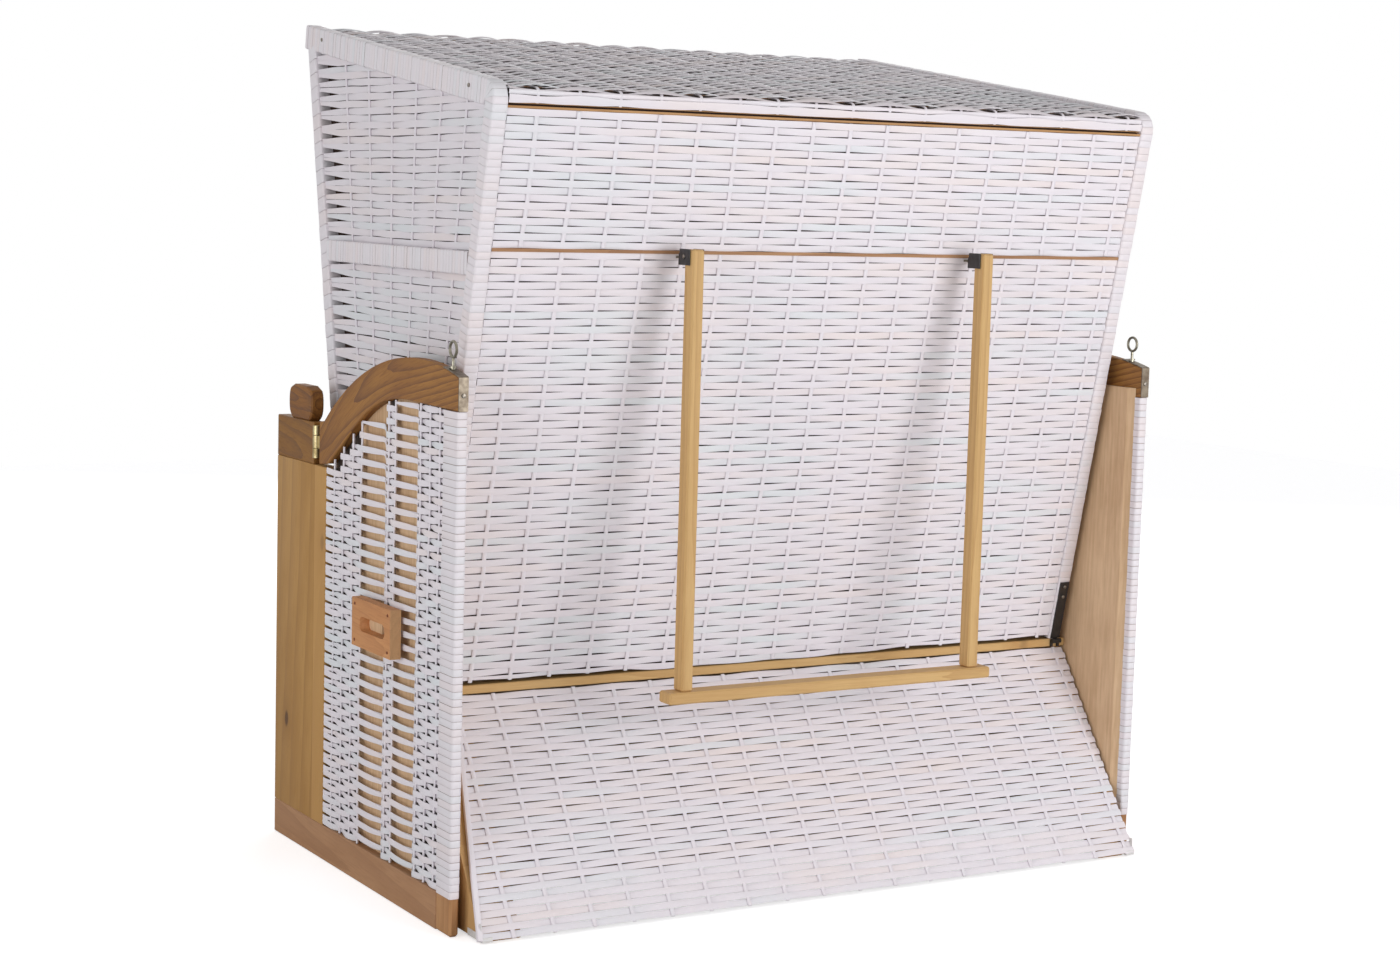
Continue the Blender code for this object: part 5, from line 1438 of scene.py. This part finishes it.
through, scoop = (handle_low.x - 0.01, handle_outer_x + 0.01), (handle_outer_x - 0.0120, handle_outer_x + 0.001)
carve(handle, slot_cutter(through, (0.0115, 0.0115), (0.0380, 0.0380)))
carve(handle, slot_cutter(scoop, (0.0115, 0.0138), (0.0380, 0.0440)))
fit_both(soften(handle, 0.0013), "base", handle_wood, "carry_handle_")
backing = make_box(
    (0.7352, slot_y[0] + 0.002, slot_z[0] + 0.002),
    (handle_low.x + 0.004, slot_middle[0] + 0.008, slot_z[1] - 0.002), "handle_backing_left",
)
fit_both(soften(backing, 0.0008), "base", wall_panel)


# Brackets of the prop frame
# A bent black plate on each side of a leg's head holds its bolt. A narrow pale tongue ties the
# plates to the tan rail of the back.
leg_low, leg_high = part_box("prop_leg_left")
ear_y, ear_z = (0.4215, 0.4560), (1.1650, 1.1935)
ear_gap, ear_thickness = 0.0006, 0.0028
near_x, far_x = leg_low.x - ear_gap - ear_thickness, leg_high.x + ear_gap + ear_thickness
web_y = ear_y[0] - ear_thickness
bracket = join_all("prop_bracket_dressed_left", [
    make_box((leg_high.x + ear_gap, ear_y[0], ear_z[0]), (far_x, ear_y[1], ear_z[1]), "ear"),
    make_box((near_x, ear_y[0], ear_z[0]), (leg_low.x - ear_gap, ear_y[1], ear_z[1]), "ear"),
    make_box((near_x, web_y, ear_z[0]), (far_x, ear_y[0], ear_z[1] - 0.008), "web"),
])
tongue_x = (leg_low.x + leg_high.x) / 2
tongue = make_box(
    (tongue_x - 0.006, rear_y(1.18) - 0.010, 1.1760), (tongue_x + 0.006, web_y, 1.1800), "prop_tongue_left",
)
fit_both(soften(bracket, 0.0008), "hood", black_iron, "prop_bracket_")
fit_both(soften(tongue, 0.0006), "hood", zinc)


# Screws, and the white clips at the flap's feet
# Pan head screws with a cross slot. One is modelled and copied to each hole: steel on the
# straps and the bands, brown on the handles. The clips are bent from white strip.
def make_screw_head():
    """A low domed head with a cross cut into it, of radius 1, that faces Z."""
    choose()
    bpy.ops.mesh.primitive_cylinder_add(vertices=16, radius=1.0, depth=0.5, location=(0, 0, 0.25))
    head = settle(bpy.context.object, "screw_head")
    pick(head, "FACE", lambda face: face.normal.z > 0.9)
    bpy.ops.mesh.inset(thickness=0.30)
    bpy.ops.transform.translate(value=(0, 0, 0.16))
    bpy.ops.object.mode_set(mode="OBJECT")
    for half_x, half_y in ((0.475, 0.10), (0.10, 0.475)):
        carve(head, make_box((-half_x, -half_y, 0.35), (half_x, half_y, 1.2), "cross_bar"))
    return smooth(head, 30)


screw_head = make_screw_head()
screw_steel = metal("screw_steel", (168, 160, 150), (96, 88, 80), 0.36, spots=200.0)
screw_brown = metal("screw_brown", (150, 92, 60), (104, 60, 38), 0.45, metallic=0.6, spots=200.0)
clip_white = metal("clip_white", (224, 222, 220), (206, 202, 198), 0.4, metallic=0.0)


def both_screws(name, spots, facing, radius, body, material=screw_steel):
    """Two sets of like screws, left and right, each one piece. A spot is the middle of a head's foot."""
    for side, mark in (("left", 1), ("right", -1)):
        way = Vector((mark * facing[0], *facing[1:])).normalized()
        turn = way.to_track_quat("Z", "Y").to_matrix().to_4x4()
        heads = []
        for number, (x, y, z) in enumerate(spots):
            head = screw_head.copy()
            head.data = screw_head.data.copy()
            bpy.context.scene.collection.objects.link(head)
            spin = Matrix.Rotation(0.7 * number + 0.4, 4, "Z") @ Matrix.Diagonal((radius, radius, radius, 1))
            head.data.transform(Matrix.Translation((mark * x, y, z)) @ turn @ spin)
            heads.append(head)
        fit(join_all(name + side, heads), on_side(body, side), material)


sink = 0.0004
handle_corners = [
    (handle_outer_x - sink * 2, y, z) for y in (handle_y[0] + 0.013, handle_y[1] - 0.013)
    for z in (handle_z[0] + 0.011, handle_z[1] - 0.011)
]
both_screws("handle_screws_", handle_corners, (1, 0, 0), 0.0030, "base", screw_brown)
strap_low, strap_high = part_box("hood_strap_left")
strap_spots = [((strap_low.x + strap_high.x) / 2, rear_y(z) + 0.0036, z) for z in (0.511, 0.490)]
both_screws("hood_strap_screws_", strap_spots, (0, 1, -math.tan(rear_lean)), 0.0034, "hood")
strap_low, strap_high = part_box("arm_strap_left")
arm_spot = ((strap_low.x + strap_high.x) / 2, strap_high.y - sink, 0.940)
both_screws("arm_strap_screw_", [arm_spot], (0, 1, 0), 0.0040, "arm_body_")
band_spots = [
    (side_outer_x + winding_skin - toe_rate * (rear_y(z) - y), y, z)
    for y, z in ((-0.394, 1.568), (0.346, 1.463))
]
both_screws("hood_band_screws_", band_spots, (1, 0, 0), 0.0036, "hood")
both_screws("prop_bolt_heads_", [(far_x - sink, 0.4380, 1.1800)], (1, 0, 0), 0.0038, "hood")
bpy.data.objects.remove(screw_head)

clip = join_all("flap_clip_left", [
    make_box((0.7180, 0.4230, 0.0030), (0.7198, 0.4800, 0.0160), "clip"),
    make_box((0.7180, 0.4690, 0.0160), (0.7198, 0.4770, 0.0340), "clip"),
    make_box((0.7000, 0.4760, 0.0030), (0.7198, 0.4840, 0.0120), "clip"),
])
fit_both(soften(clip, 0.0006), "base", clip_white)
